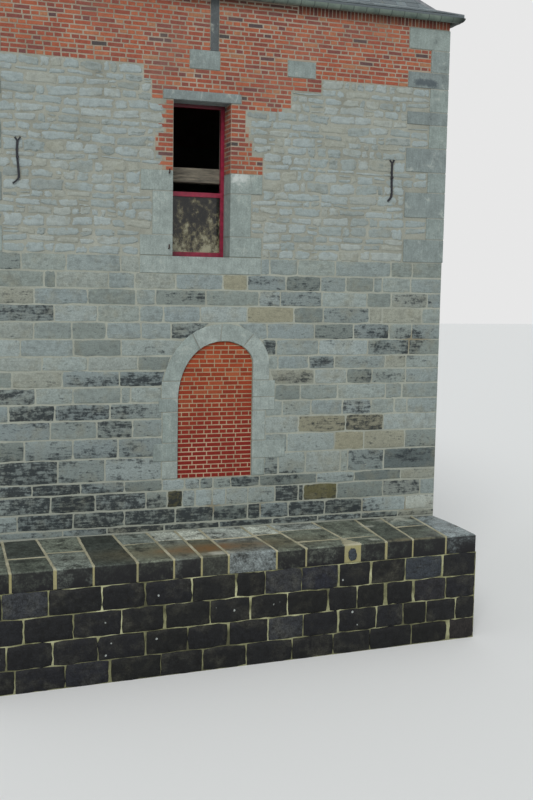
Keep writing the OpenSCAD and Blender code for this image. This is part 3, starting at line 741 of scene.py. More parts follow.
def wrap_stations(corners, steps=(-1.0, 0.0, 1.0)):
    """Grid lines of stones that wrap a corner: one halfway along each wall, and those that turn the arris."""
    left, right = corners[:, 0, 0], corners[:, 1, 0]
    places = np.stack([left / 2, *[np.full(len(left), arris_r * s) for s in steps], right / 2], 1)
    return (places - (left + right)[:, None] / 2) / ((right - left)[:, None] / 2)


def edges(points, rings):
    """1 on the rim of each grid, falling to 0 on its face: how much the mortar laps over the stone."""
    lapped = np.clip(1 - from_rim(*points.shape[1:3]) / (rings + 0.6), 0, 1)
    return np.broadcast_to(lapped, points.shape[:3])


def darkness(points):
    """Water stains on the front: the largest of soft spots, each x, z, two half widths and a strength."""
    spots = [
        (2.98, 4.22, 0.42, 0.16, 1.0), (2.98, 4.02, 0.2, 0.16, 1.1), (2.6, 4.05, 0.35, 0.12, 0.8),
        (3.15, 4.75, 0.38, 0.1, 0.75), (1.62, 3.84, 0.22, 0.1, 0.8), (2.25, 3.83, 0.5, 0.07, 0.6),
        (2.55, 3.62, 0.35, 0.1, 0.8), (1.2, 3.62, 0.3, 0.06, 0.7), (0.8, 4.08, 0.1, 0.08, 0.7),
        (1.75, 4.13, 0.5, 0.05, 0.6), (3.1, 2.43, 0.42, 0.1, 0.7), (1.15, 2.2, 0.42, 0.1, 0.5),
        (-0.78, 1.95, 0.2, 0.13, 0.8), (-2.0, 4.6, 0.5, 0.1, 0.4), (-1.9, 4.3, 0.5, 0.05, 0.6),
        (-0.6, 1.68, 2.3, 0.14, 1.25), (0.4, 2.16, 0.16, 0.06, 1.1), (2.0, 2.14, 0.5, 0.05, 0.6),
        (-0.9, 4.03, 0.2, 0.08, 0.6), (-1.5, 3.6, 0.7, 0.07, 0.7), (-1.6, 3.2, 0.9, 0.1, 0.6),
        (-1.9, 2.6, 0.9, 0.1, 0.6), (-2.0, 2.0, 1.0, 0.15, 0.7), (1.4, 1.63, 1.3, 0.1, 0.9),
        (0.6, 4.98, 0.3, 0.04, 0.8), (-0.2, 4.74, 0.35, 0.05, 0.5), (-1.9, 1.95, 1.5, 0.35, 0.8),
        (-1.9, 2.6, 1.3, 0.2, 0.7), (-2.2, 3.1, 1.0, 0.12, 0.65), (0.2, 1.56, 2.0, 0.06, 1.2),
    ]
    x, y, z = points[..., 0], points[..., 1], points[..., 2]
    found = [strength * bell(x, z, (at_x, at_z), reach) for at_x, at_z, *reach, strength in spots]
    return np.where(y < front_y + 0.5, np.max(found, 0), 0)


def damp(points):
    """Crust and wet towards the foot of the walls: (4.4 - z) / 3.2 up to 0.9, in bands a few stones long."""
    x, y, z = points[..., 0], points[..., 1], points[..., 2]
    return np.clip((4.4 - z) / 3.2, 0, 0.9) * (0.6 + 0.4 * np.sin(2.1 * x + 1.3 * y + 5 * z))


def ashlar_values(points):
    """Tone, stain and mortar lap of squared stones. Some on the front are noted, as x, z and tone."""
    noted = [
        (1.5, 5.19, 0.93), (0.82, 4.52, 0.93), (0.27, 4.96, 0.93), (1.4, 4.52, 0.14), (3.06, 5.19, 0.24),
        (1.75, 1.95, 0.0), (-0.55, 1.95, 0.0), (-0.35, 1.95, 0.74), (-0.1, 1.95, 0.72), (0.1, 1.95, 0.72),
        (-0.3, 2.15, 0.7), (0.35, 1.95, 0.76),
        (1.37, 5.19, 0.6), (2.5, 4.74, 0.2), (0.2, 4.3, 0.88), (-0.9, 2.42, 0.7), (1.9, 4.28, 0.2),
        (1.89, 2.95, 0.93), (2.39, 2.94, 0.93), (2.15, 2.69, 0.93), (2.72, 2.67, 0.9), (2.85, 3.85, 0.85),
        (3.34, 1.7, 1.0), (2.74, 1.69, 0.72), (3.01, 1.93, 0.8), (3.4, 2.15, 1.0), (3.15, 2.18, 0.85),
        (3.15, 2.43, 0.05), (2.65, 2.22, 0.1), (2.34, 1.95, 0.2), (2.2, 3.6, 0.2), (-2.6, 4.2, 0.8),
    ]
    count = len(points)
    tones = np.clip(draw.normal(0.5, 0.2, count), 0.18, 0.86)
    middle = points.mean((1, 2))
    # The nearest stone of the front takes the noted tone, if it is near enough. Heights count double.
    for x, z, tone in noted:
        away = np.abs(middle[:, 0] - x) + 2 * np.abs(middle[:, 2] - z) + 9 * (middle[:, 1] > front_y + 0.3)
        if away.min() < 0.4:
            tones[away.argmin()] = tone
    crust = draw.random(count)[:, None, None] ** 5 * 0.75
    soiled = np.minimum(darkness(points) * 0.8 + damp(points) * 0.55 + crust, 1.0)
    washed = bell(points[..., 0], points[..., 2], (3.05, 1.69), (0.5, 0.15))
    return {"tone": tones, "edge": edges(points, 2), "stain": soiled * (1 - 0.9 * washed)}


# Each course turns each corner with one stone, long on one wall and short on the other.
levels = [c[0] for c in COURSES]
# The last upright of a course on the front says how long its right corner stone is.
right_reach = [half_w - max(cuts) if cuts and max(cuts) > 2.6 else short_end for _, cuts in COURSES[:-1]]
# By course and wall: how far the stone at its right end reaches along it, and along the next wall.
TURNS = {}
for n in range(len(levels) - 1):
    here = (long_end, short_end) if n % 2 else (short_end, long_end)
    TURNS[n] = {"front": (right_reach[n], short_end if right_reach[n] > 0.4 else long_end), "right": here,
                "back": here, "left": here}
PREVIOUS = {"front": "left", "right": "front", "back": "right", "left": "back"}
plain_group, turn_group = {}, []
for side, (origin, along, half) in SIDES.items():
    corners, turns = [], []
    for n, (high, low) in enumerate(zip(levels[:-1], levels[1:])):
        if side == "front" and high <= plinth_top:
            break
        cuts = COURSES[n][1] if side == "front" else random_cuts(-half, half, 0.5, 0.12, draw)
        start, stop = -half + TURNS[n][PREVIOUS[side]][1], half - TURNS[n][side][0]
        if high <= plinth_top:
            start, stop = (-half if side == "right" else start), (half if side == "left" else stop)
        spans = free_spans(side, low, high, start, stop)
        corners += cut_course(spans, cuts, low, high, ashlar_joint)
    for n, (high, low) in enumerate(zip(levels[:-1], levels[1:])):
        if side in ("front", "left") and high <= plinth_top:
            break
        turns.append([-TURNS[n][side][0] + ashlar_joint / 2, TURNS[n][side][1] - ashlar_joint / 2,
                      low + ashlar_joint / 2, high - ashlar_joint / 2])
    plain_group[side] = shells(np.array(corners), ashlar_rim, on_plane(origin, along), draw,
                               wander=0.0035, rough=0.0012, tilt=0.0012, soften=0.008)
    turns = boxes(turns)
    corner = np.asarray(origin) + half * np.asarray(along)
    turn_group.append(shells(turns, ashlar_rim, round_corner(corner, along), draw, wander=0.002, rough=0.0008,
                             soften=0.006, stations=wrap_stations(turns)))
join("front_ashlar", plain_group["front"], ashlar_stone, "ashlar", **ashlar_values(plain_group["front"]))
sides_stones = np.concatenate([plain_group[side] for side in ("right", "back", "left")])
join("side_ashlar", sides_stones, ashlar_stone, "ashlar", **ashlar_values(sides_stones))
turn_stones = np.concatenate(turn_group)
join("corner_ashlar", turn_stones, ashlar_stone, "ashlar", **ashlar_values(turn_stones))

# Rubble between ashlar and bricks
# The same limestone as it came from the quarry, knocked roughly square and laid in wavy courses.
# The wide joints are filled flush with the lime mortar, which hides much of the smaller stones.
rubble_joint, edge_gap = 0.012, 0.007
rubble_rim = [(0.0, -0.012), (0.008, 0.002), (0.024, 0.007)]
rubble_rows = 21
draw = np.random.default_rng(37)
row_z = np.linspace(rubble_z, band_z, rubble_rows + 1) + np.pad(draw.normal(0, 0.013, rubble_rows - 1), 1)
# The toothed bricks beside the windows: where they begin, their courses, and how far they and their
# recessed teeth reach from the opening.
jamb_top, jamb_rows = rubble_z + 1.14, 22
jamb_row = (band_z - jamb_top) / jamb_rows
tooth_out, tooth_in = 0.34, 0.23
win_top, win_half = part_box("front_window_frame")[1].z, 0.405


def brick_reach(z):
    """How far the bricks beside a side or back window reach from it at a height, toothed by four courses."""
    if jamb_top < z < win_top:
        return tooth_out if (z - jamb_top) // jamb_row % 8 < 4 else tooth_in
    return 0.0


def brick_patch(side, foot, top):
    """The stretch that window and bricks take between two heights on the walls other than the front."""
    reach = max(brick_reach(foot + 0.01), brick_reach(top - 0.01))
    return [[-win_half - reach, win_half + reach]] if side != "front" and reach else []


def wavy(corners, n):
    """Lets the beds of course n rise and fall by up to 20 mm, alike for the stones on both sides of a bed."""
    for rows, k in (((0, 1), n), ((2, 3), n + 1)):
        if 0 < k < rubble_rows:
            x = corners[:, rows, 0]
            corners[:, rows, 1] += 0.012 * np.sin(2.3 * x + 1.7 * k) + 0.008 * np.sin(5.1 * x + 0.9 * k)
    return corners


def split_some(corners, share, draw):
    """Divides a share of the shorter stones by a bed joint at a random height."""
    chosen = (draw.random(len(corners)) < share) & (corners[:, 1, 0] - corners[:, 0, 0] < 0.2)
    whole, parts = corners[~chosen], corners[chosen]
    at = draw.uniform(0.35, 0.65, (len(parts), 1, 1))
    middle = parts[:, [0, 1]] * (1 - at) + parts[:, [3, 2]] * at
    gap = np.array([0, rubble_joint * 0.5])
    lower = np.concatenate([parts[:, [0, 1]], middle[:, ::-1] - gap], 1)
    upper = np.concatenate([middle + gap, parts[:, [2, 3]]], 1)
    return np.concatenate([whole, lower, upper])


def look_levels(low, high):
    """Lowest and highest level at which the neighbours of a course are looked for: a little past its beds."""
    return max(low - 0.01, rubble_z + 0.008), min(high + 0.01, band_z - 0.008)


rubble = {}
for side, (origin, along, half) in SIDES.items():
    corners = []
    for n, (low, high) in enumerate(zip(row_z[:-1], row_z[1:])):
        nodes = DRESSED[side] + (["front_window_brickwork"] if side == "front" else [])
        heights = np.linspace(*look_levels(low, high), 6)
        taken = [span for z in heights for span in spans_at(nodes, z, side)] + brick_patch(side, low, high)
        spans = upright(between(taken, -half, half), edge_gap)
        cuts = random_cuts(-half, half, draw.uniform(0.205, 0.315), 0.1, draw)
        cells = cut_course(spans, cuts, low, high, rubble_joint)
        # Where only half the height of the course is free, a stone of half the height fills it.
        middle = (low + high) / 2
        for foot, top in ((low, middle), (middle, high)):
            lowest_z, highest_z = look_levels(foot, top)
            samples = (lowest_z, (foot + top) / 2, highest_z)
            near = [span for z in samples for span in spans_at(nodes, z, side)]
            near += brick_patch(side, foot, top)
            gaps = between(near + [list(span[1:3]) for span in spans], -half, half, 0.07)
            cells += cut_course(upright(gaps), [], foot, top, rubble_joint)
        corners.append(wavy(np.array(cells), n))
    corners = split_some(np.concatenate(corners), 0.2, draw)
    corners += draw.normal(0, 0.009, corners.shape)
    rubble[side] = shells(corners, rubble_rim, on_plane(origin, along), draw, wander=0.008, rough=0.0035,
                          tilt=0.003, soften=0.012, inner=(3, 3) if side == "front" else (2, 2))
for name, sides in (("front_rubble", ["front"]), ("side_rubble", ["right", "back", "left"])):
    points = np.concatenate([rubble[side] for side in sides])
    join(name, points, rubble_stone, "rubble", tone=draw.random(len(points)), edge=edges(points, 2),
         stain=draw.random(len(points)) ** 6 * 0.7)

# Bricks
# Hand-moulded clay bricks, 205 x 100 x 50 mm, orange to plum, some burnt black, darkened under the gutter by
# painted shadow.
# They fill the wall between the rubble and the gutter, and the toothed repair round the front window.
old_brick = finish("hand_moulded_brick")
spot = add(old_brick, "TexCoord").outputs["Object"]
tone = add(old_brick, "Attribute", attribute_name="tone").outputs["Fac"]
base = add(old_brick, "ValToRGB", {"Fac": tone}, stops=[
    (0.0, "#45403e"), (0.015, "#534040"), (0.05, "#72413b"), (0.2, "#834536"), (0.45, "#8f4936"),
    (0.7, "#9a5238"), (0.9, "#a05b3f"), (1.0, "#98694c")
])
skin = add(old_brick, "TexNoise", {"Vector": spot, "Scale": 28.0, "Detail": 6.0, "Roughness": 0.7})
pits = add(old_brick, "TexNoise", {"Vector": spot, "Scale": 150.0, "Detail": 3.0, "Roughness": 0.7})
cloud = add(old_brick, "TexNoise", {"Vector": spot, "Scale": 1.6, "Detail": 5.0})
surface = weathered(old_brick, base.outputs["Color"], (skin.outputs["Fac"], 0.22),
                    (pits.outputs["Fac"], 0.15), (cloud.outputs["Fac"], 0.08))
# A bloom of lime in clouds, and painted shadow under the gutter.
surface = over(old_brick, surface, "#85695b", cloud.outputs["Fac"], 0.5, 0.75, 0.3)
height = add(old_brick, "SeparateXYZ", {"Vector": spot}).outputs["Z"]
# Painted shadow of the gutter: the top courses darken towards the eaves.
surface = over(old_brick, surface, "#3a211b", height, wall_top - 0.17, wall_top - 0.06, 0.75)
relief = add(old_brick, "Math", {0: pits.outputs["Fac"], 1: 0.5, 2: skin.outputs["Fac"]},
             operation="MULTIPLY_ADD")
coat(old_brick, surface, 0.9, (relief.outputs["Value"], 0.6, 0.004))
brick_mortar = mortar_finish(
    "grey_brick_mortar", [(0.3, "#857a69"), (0.5, "#948878"), (0.75, "#a19686")], "#897d6b", 6.0, 7.4
)
for node in ("front_brick_band", "right_brick_band", "left_brick_band", "back_brick_band",
             "front_window_brickwork"):
    paint_node(node, brick_mortar)

# Lengths of a stretcher and a header with their joints, and the height of the three courses, or of the
# course of bricks on end, that the wall ends in.
brick_joint = 0.014
brick_rim = [(0.0, -0.008), (0.003, 0.003)]
stretcher, header = 0.214, 0.109
eaves_course = 0.155
# The courses of the band are laid by turns with this share of stretchers.
mostly_stretchers, mostly_headers = 0.88, 0.1
# Bricks on end: how wide they are, how far apart, and where they begin on the front.
on_end_w, on_end_pitch, on_end_from = 0.048, 0.056, 1.156
draw = np.random.default_rng(53)


def brick_row(spans, low, high, pattern, draw, joint=brick_joint, start=None, least=0.045):
    """Bricks of one course on its free spans: stretchers and headers drawn by the share of stretchers."""
    corners = []
    for ends in spans:
        width = max(ends[2:]) - min(ends[:2])
        count = int(width / header) + 3
        lengths = np.where(draw.random(count) < pattern, stretcher, header) * draw.normal(1, 0.012, count)
        first = -draw.uniform(0, 0.8) * lengths[0] if start is None else -start
        cuts = min(ends[:2]) + first + np.cumsum(lengths)
        cuts = cuts[(cuts > max(ends[:2]) + least) & (cuts < min(ends[2:]) - least)]
        corners += cut_cells(ends, cuts, low, high, joint)
    return corners


bricks = []
band_rows = np.linspace(band_z, wall_top - eaves_course, 15)
for side, (origin, along, half) in SIDES.items():
    corners = []
    for n, (low, high) in enumerate(zip(band_rows[:-1], band_rows[1:])):
        heights = (low + 0.012, high - 0.012)
        taken = [span for z in heights for span in spans_at(DRESSED[side], z, side)]
        pattern = mostly_stretchers if n % 2 else mostly_headers
        corners += brick_row(upright(between(taken, -half, half)), low, high, pattern, draw)
    begin = on_end_from if side == "front" else -half
    for low in wall_top - eaves_course * np.array([1, 2 / 3, 1 / 3]) if side == "front" else ():
        high = low + eaves_course / 3
        taken = spans_at(DRESSED[side], low + 0.03, side)
        corners += brick_row(upright(between(taken, -half, begin - brick_joint)), low, high, 0.5, draw)
    taken = spans_at(DRESSED[side], wall_top - eaves_course / 2, side)
    clear = [x for x in np.arange(begin, half - 0.03, on_end_pitch)
             if not any(a < x + 0.03 < b for a, b in taken)]
    foot, top = wall_top - eaves_course + 0.004, wall_top - 0.006
    corners += boxes([[x, x + on_end_w, foot, top] for x in clear]).tolist()
    corners = np.array(corners)
    corners += draw.normal(0, 0.002, corners.shape)
    bricks.append(shells(corners, brick_rim, on_plane(origin, along), draw, inner=(0, 0), rough=0.001))

# Round the windows the bricks turn the corner into the reveal, a header and a stretcher by turns. Where a
# brick turns is kept as side, corner, hand (1 at a left jamb), its two lengths, and its foot and top.
long_turn, short_turn = 0.205, 0.1
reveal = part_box("front_window_frame")[0].y - front_y
row_levels = np.linspace(jamb_top, band_z, jamb_rows + 1)
wraps = []
for side, (origin, along, half) in SIDES.items():
    low_x, high_x = sorted((np.array([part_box(side + "_window_frame")[k].to_tuple() for k in (0, 1)])
                            - np.asarray(origin)) @ np.asarray(along))
    cells = []
    for n, (low, high) in enumerate(zip(row_levels[:-1], row_levels[1:])):
        z = (low + high) / 2
        beside = z < win_top - 0.01
        if side == "front":
            spans = spans_at(["front_window_brickwork"], z, side)
        elif beside:
            reach = brick_reach(z)
            spans = [[low_x - reach, low_x], [high_x, high_x + reach]]
        else:
            break
        for a, b in spans:
            turn, back_turn = (long_turn, short_turn) if n % 2 else (short_turn, long_turn)
            if beside and abs(b - low_x) < 0.02:
                wraps.append((side, low_x, 1, turn, back_turn, low, high))
                b -= turn + brick_joint / 2
            if beside and abs(a - high_x) < 0.02:
                wraps.append((side, high_x, -1, turn, back_turn, low, high))
                a += turn + brick_joint / 2
            if b - a > 0.05:
                pattern = mostly_stretchers if n % 2 else mostly_headers
                cells += brick_row([(a, a, b, b)], low, high, pattern, draw)
    bricks.append(shells(np.array(cells), brick_rim, on_plane(origin, along), draw,
                         inner=(0, 0), rough=0.001))
turned = []
for side, x, hand, turn, back_turn, low, high in wraps:
    origin, along, _ = SIDES[side]
    out = np.cross(along, (0, 0, 1))
    corner = np.asarray(origin) + x * np.asarray(along)
    half = brick_joint / 2
    first, second = (turn, back_turn) if hand > 0 else (back_turn, turn)
    cell = boxes([[-first, second, low + half, high - half]])
    way = along if hand > 0 else out
    turned.append(shells(cell, brick_rim, round_corner(corner, way), draw, inner=(0, 0), rough=0.0008,
                         stations=wrap_stations(cell, (-0.6, 0.6))))
    rest = boxes([[back_turn + brick_joint, reveal - 0.004, low + half, high - half]])
    if hand < 0:
        rest[..., 0] = -rest[:, [1, 0, 3, 2], 0]
    inward = -out if hand > 0 else out
    bricks.append(shells(rest, brick_rim, on_plane(corner, inward), draw, inner=(0, 0), rough=0.001))
brick_points = np.concatenate(bricks)
turned = np.concatenate(turned)
join("wall_bricks", brick_points, old_brick, "brick", tone=draw.random(len(brick_points)))
join("reveal_bricks", turned, old_brick, "brick", tone=draw.random(len(turned)))

# Bricked-up arch
# Newer machine-pressed bricks in English bond, a course of headers over a course of stretchers.
# They stand a thumb behind the arch stones, in a pale mortar, and darken towards the foot.
arch_brick = finish("pressed_red_brick")
spot = add(arch_brick, "TexCoord").outputs["Object"]
tone = add(arch_brick, "Attribute", attribute_name="tone").outputs["Fac"]
base = add(arch_brick, "ValToRGB", {"Fac": tone}, stops=[
    (0.0, "#7b2e17"), (0.35, "#883518"), (0.6, "#903a1c"), (0.85, "#964223"), (1.0, "#9a5130")
])
skin = add(arch_brick, "TexNoise", {"Vector": spot, "Scale": 35.0, "Detail": 6.0, "Roughness": 0.7})
height = add(arch_brick, "SeparateXYZ", {"Vector": spot}).outputs["Z"]
surface = over(arch_brick, base.outputs["Color"], "#761810", height, 3.75, 2.75, 0.9)
surface = weathered(arch_brick, surface, (skin.outputs["Fac"], 0.2))
coat(arch_brick, surface, 0.85, (skin.outputs["Fac"], 0.5, 0.003), {"IOR": 1.4})
arch_mortar = mortar_finish(
    "beige_pointing", [(0.3, "#8b775e"), (0.5, "#9b876b"), (0.75, "#aa977b")], "#d0b49a", 2.2, 3.4
)
paint_node("arch_brick_infill", arch_mortar)
infill_low, infill_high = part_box("arch_brick_infill")
arch_rows = np.linspace(infill_low.z, infill_high.z, 32)
arch_joint, header_shift = 0.0115, 0.05
arch_rim = [(0.0, -0.006), (0.002, 0.003)]
cells = []
draw = np.random.default_rng(71)
for n, (low, high) in enumerate(zip(arch_rows[:-1], arch_rows[1:])):
    near, far = [spans_at(["arch_brick_infill"], z, "front") for z in (low + 0.006, high - 0.008)]
    if near and far:
        ends = (near[0][0], far[0][0], near[-1][1], far[-1][1])
        pattern, start = (1.0, 0.0) if n % 2 else (0.0, header_shift)
        cells += brick_row([ends], low, high, pattern, draw, joint=arch_joint, start=start)
arch_points = shells(np.array(cells), arch_rim, on_plane((0, infill_low.y, 0), (1, 0, 0)), draw,
                     inner=(0, 0), rough=0.0006)
join("arch_bricks", arch_points, arch_brick, "arch_brick", tone=draw.random(len(arch_points)))

# Dressed stones
# Smooth blue limestone from the mason's bench: corner stones, window surrounds, arch ring, pads and post.
# Their faces are tooled with fine upright strokes, and their arrises are worn to a finger's radius.


def worn_copy(node, name, material, radius, segments=3, tones=None):
    """A copy of a CAD node with its edges rounded: points merged, flat faces joined, then bevelled.

    Every separate stone of it gets a tone: the given ones from the lowest stone up, then random ones.
    """
    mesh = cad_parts[node].data.copy()
    mesh.name = name
    shape = bmesh.new()
    shape.from_mesh(mesh)
    bmesh.ops.remove_doubles(shape, verts=shape.verts, dist=0.0002)
    bmesh.ops.dissolve_limit(shape, angle_limit=math.radians(1), verts=shape.verts, edges=shape.edges)
    for edge in shape.edges:
        edge.smooth = True
    shape.to_mesh(mesh)
    shape.free()
    mesh.materials.clear()
    mesh.materials.append(material)
    mesh.shade_smooth()
    mesh.set_sharp_from_angle(angle=math.radians(35))
    if tones is not None:
        ends = np.empty(len(mesh.edges) * 2, np.int32)
        mesh.edges.foreach_get("vertices", ends)
        first, second = ends.reshape(-1, 2).T
        stone, before = np.arange(len(mesh.vertices)), None
        while before is None or (stone != before).any():
            before = stone.copy()
            least = np.minimum(stone[first], stone[second])
            np.minimum.at(stone, first, least)
            np.minimum.at(stone, second, least)
        height = np.empty(len(mesh.vertices) * 3)
        mesh.vertices.foreach_get("co", height)
        height = height[2::3]
        found = sorted(set(stone.tolist()), key=lambda k: height[stone == k].min())
        chosen = np.concatenate([tones, draw.uniform(0.2, 0.75, len(found))])[:len(found)]
        tone = np.zeros(len(stone), np.float32)
        for k, value in zip(found, chosen):
            tone[stone == k] = value
        mesh.attributes.new("tone", "FLOAT", "POINT").data.foreach_set("value", tone)
    piece = stand(name, mesh)
    bevel = piece.modifiers.new("worn_arris", "BEVEL")
    bevel.width, bevel.segments, bevel.limit_method = radius, segments, "ANGLE"
    bevel.angle_limit = math.radians(40)
    bevel.harden_normals = True
    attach(piece, "root")
    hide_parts(node)
    return piece


# Blue limestone, matt from the chisel: darker and greener where it weathers, whitish where lime ran over it.
dressed_stone = finish("tooled_blue_limestone")
spot = add(dressed_stone, "TexCoord").outputs["Object"]
tone = add(dressed_stone, "Attribute", attribute_name="tone").outputs["Fac"]
shift = add(dressed_stone, "VectorMath", {0: (41.0, 67.0, 97.0), "Scale": tone}, operation="SCALE")
own = add(dressed_stone, "VectorMath", {0: spot, 1: shift.outputs["Vector"]}).outputs["Vector"]
tooling = add(dressed_stone, "Mapping", {"Vector": own, "Scale": (1.0, 1.0, 0.1)}).outputs["Vector"]
strokes = add(dressed_stone, "TexNoise", {"Vector": tooling, "Scale": 55.0, "Detail": 3.0, "Roughness": 0.6})
mottle = add(dressed_stone, "TexNoise", {"Vector": own, "Scale": 7.0, "Detail": 9.0, "Roughness": 0.68})
veins = add(dressed_stone, "TexNoise", {"Vector": own, "Scale": 2.0, "Detail": 3.0, "Distortion": 1.0})
grit = add(dressed_stone, "TexNoise", {"Vector": own, "Scale": 55.0, "Detail": 3.0, "Roughness": 0.6})
base = add(dressed_stone, "ValToRGB", {"Fac": tone}, stops=[
    (0.0, "#4e5354"), (0.12, "#67706f"), (0.4, "#76807e"), (0.7, "#818c87"), (1.0, "#959e99")
])
surface = weathered(dressed_stone, base.outputs["Color"], (mottle.outputs["Fac"], 0.22),
                    (strokes.outputs["Fac"], 0.1), (grit.outputs["Fac"], 0.17))
# White veins, broken up by the mottling, and dark pocks.
vein = add(dressed_stone, "MapRange", {"Value": veins.outputs["Fac"], "From Min": 0.5, "From Max": 0.52})
past = add(dressed_stone, "MapRange", {"Value": veins.outputs["Fac"], "From Min": 0.55, "From Max": 0.52})
line = add(dressed_stone, "Math", {0: vein.outputs["Result"], 1: past.outputs["Result"]},
           operation="MULTIPLY")
broken = add(dressed_stone, "MapRange", {"Value": mottle.outputs["Fac"], "From Min": 0.48, "From Max": 0.62,
                                         "To Max": 0.55})
line = add(dressed_stone, "Math", {0: line.outputs["Value"], 1: broken.outputs["Result"]},
           operation="MULTIPLY")
surface = over(dressed_stone, surface, "#a9afa6", line.outputs["Value"])
surface = over(dressed_stone, surface, "#4c5454", mottle.outputs["Fac"], 0.36, 0.28, 0.75)
# A splash of lime beside the front window, and a corner stone dark with the gutter's water. Each is a
# distance from a point, torn by the mottling, and the second lies flat: its height counts 3.5 times.
splash = add(dressed_stone, "VectorMath", {0: spot, 1: (0.36, front_y, 6.38)}, operation="DISTANCE")
torn = add(dressed_stone, "Math", {0: mottle.outputs["Fac"], 1: 0.6, 2: splash.outputs["Value"]},
           operation="MULTIPLY_ADD")
limed = add(dressed_stone, "MapRange", {"Value": torn.outputs["Value"], "From Min": 0.44, "From Max": 0.34})
limed = add(dressed_stone, "Math", {0: limed.outputs["Result"], 1: veins.outputs["Fac"]},
            operation="MULTIPLY")
surface = over(dressed_stone, surface, "#cfd4cf", limed.outputs["Value"])
squashed = add(dressed_stone, "VectorMath", {0: spot, 1: (1.0, 1.0, 3.5)}, operation="MULTIPLY")
wet = add(dressed_stone, "VectorMath", {0: squashed.outputs["Vector"], 1: (3.17, front_y, 7.89 * 3.5)},
          operation="DISTANCE")
wet = add(dressed_stone, "Math", {0: mottle.outputs["Fac"], 1: 0.6, 2: wet.outputs["Value"]},
          operation="MULTIPLY_ADD")
surface = over(dressed_stone, surface, "#353f47", wet.outputs["Value"], 0.56, 0.44, 0.7)
coat(dressed_stone, surface, 0.8, (strokes.outputs["Fac"], 0.35, 0.003))
arris = 0.008
draw = np.random.default_rng(89)
for node, tones in (
    ("quoins_front_right", [0.5, 0.62, 0.45, 0.55, 0.4, 0.7, 0.35, 0.66, 0.3, 0.5, 0.72]),
    ("quoins_front_left", []), ("quoins_back_right", []), ("quoins_back_left", []),
    ("front_window_jambs", [0.8, 0.74, 0.78, 0.72, 0.76, 0.74]), ("front_window_lintel", [0.32]),
    ("front_window_sill", [0.8]), ("right_window_stones", []), ("left_window_stones", []),
    ("back_window_stones", []), ("wall_blocks", [0.5, 0.58]), ("wall_post", [0.0]),
    ("arch_stones", [0.75, 0.88, 0.65, 0.82, 0.88, 0.7, 0.6, 0.88, 0.8, 0.85, 0.88, 0.75, 0.88, 0.8])
):
    worn_copy(node, node + "_worn", dressed_stone, arris, tones=tones)

# Mortar in the joints between the dressed stones: it lies sunk behind their faces and bites into the beds
# above and below. Between arch stones it fills the hull of the corners that face each other.
sunk, bite = 0.005, 0.01
fills = []
for node in ("quoins_front_right", "quoins_front_left", "quoins_back_right", "quoins_back_left",
             "front_window_jambs", "right_window_stones", "left_window_stones", "back_window_stones",
             "arch_stones"):
    shape = bmesh.new()
    shape.from_mesh(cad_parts[node].data)
    bmesh.ops.remove_doubles(shape, verts=shape.verts, dist=0.0002)
    stones, left_over = [], dict.fromkeys(shape.verts)
    while left_over:
        stone, to_visit = [], [left_over.popitem()[0]]
        while to_visit:
            vertex = to_visit.pop()
            stone.append(vertex.co.to_tuple())
            for link in vertex.link_edges:
                other = link.other_vert(vertex)
                if other in left_over:
                    del left_over[other]
                    to_visit.append(other)
        stones.append(np.array(stone))
    shape.free()
    for k, first in enumerate(stones):
        for second in stones[k + 1:]:
            lows = np.maximum(first.min(0), second.min(0))
            highs = np.minimum(first.max(0), second.max(0))
            gap = lows[2] - highs[2]
            if 0.004 < gap < 0.03 and (highs - lows)[:2].min() > 0.05:
                fills.append(np.array([[x, y, z] for x in (lows[0] + sunk, highs[0] - sunk)
                                       for y in (lows[1] + sunk, highs[1] - sunk)
                                       for z in (highs[2] - bite, lows[2] + bite)]))
            elif node == "arch_stones":
                apart = np.linalg.norm(first[:, None] - second[None], axis=2)
                facing = np.concatenate([first[apart.min(1) < 0.015], second[apart.min(0) < 0.015]])
                if len(facing) >= 8:
                    middle = facing.mean(0)
                    facing[:, 1] = middle[1] + (facing[:, 1] - middle[1]) * 0.96
                    fills.append(middle + (facing - middle) * np.array([0.98, 1, 0.98]))
fill_shape = bmesh.new()
for corners in fills:
    made = [fill_shape.verts.new(c) for c in corners]
    bmesh.ops.convex_hull(fill_shape, input=made)
loose = [v for v in fill_shape.verts if not v.link_faces]
bmesh.ops.delete(fill_shape, geom=loose, context="VERTS")
bmesh.ops.recalc_face_normals(fill_shape, faces=fill_shape.faces)
fill_mesh = bpy.data.meshes.new("dressed_pointing")
fill_shape.to_mesh(fill_mesh)
fill_shape.free()
# Fine white putty lime, rained grey.
putty = mortar_finish(
    "fine_joint_lime", [(0.3, "#81847c"), (0.5, "#8c8f86"), (0.75, "#989b92")], "#81847c", 1.5, 4.2
)
fill_mesh.materials.append(putty)
dressed_pointing = stand("dressed_pointing", fill_mesh)
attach(dressed_pointing, "root")

# Windows
# Oak frames with one transom, painted crimson, darkened at the head by painted shadow of the lintel, set deep
# in the wall, with single panes.
# The front one stands without its upper pane, and an old beam crosses the opening behind it.
red_paint = finish("crimson_gloss_paint")
spot = add(red_paint, "TexCoord").outputs["Object"]
wear = add(red_paint, "TexNoise", {"Vector": spot, "Scale": 18.0, "Detail": 6.0})
tint = add(red_paint, "ValToRGB", {"Fac": wear.outputs["Fac"]}, stops=[
    (0.3, "#6c0f27"), (0.55, "#851734"), (0.8, "#96233f")
])
height = add(red_paint, "SeparateXYZ", {"Vector": spot}).outputs["Z"]
# Painted shadow of the lintel: the head of each frame darkens towards the top of the opening.
tint = over(red_paint, tint.outputs["Color"], "#3a1216", height, win_top - 0.07, win_top - 0.03, 0.8)
brush = add(red_paint, "TexNoise", {"Vector": spot, "Scale": 140.0, "Detail": 2.0})
coat(red_paint, tint, 0.35, (brush.outputs["Fac"], 0.15, 0.001))
for side in SIDES:
    worn_copy(side + "_window_frame", side + "_window_frame_painted", red_paint, 0.004)
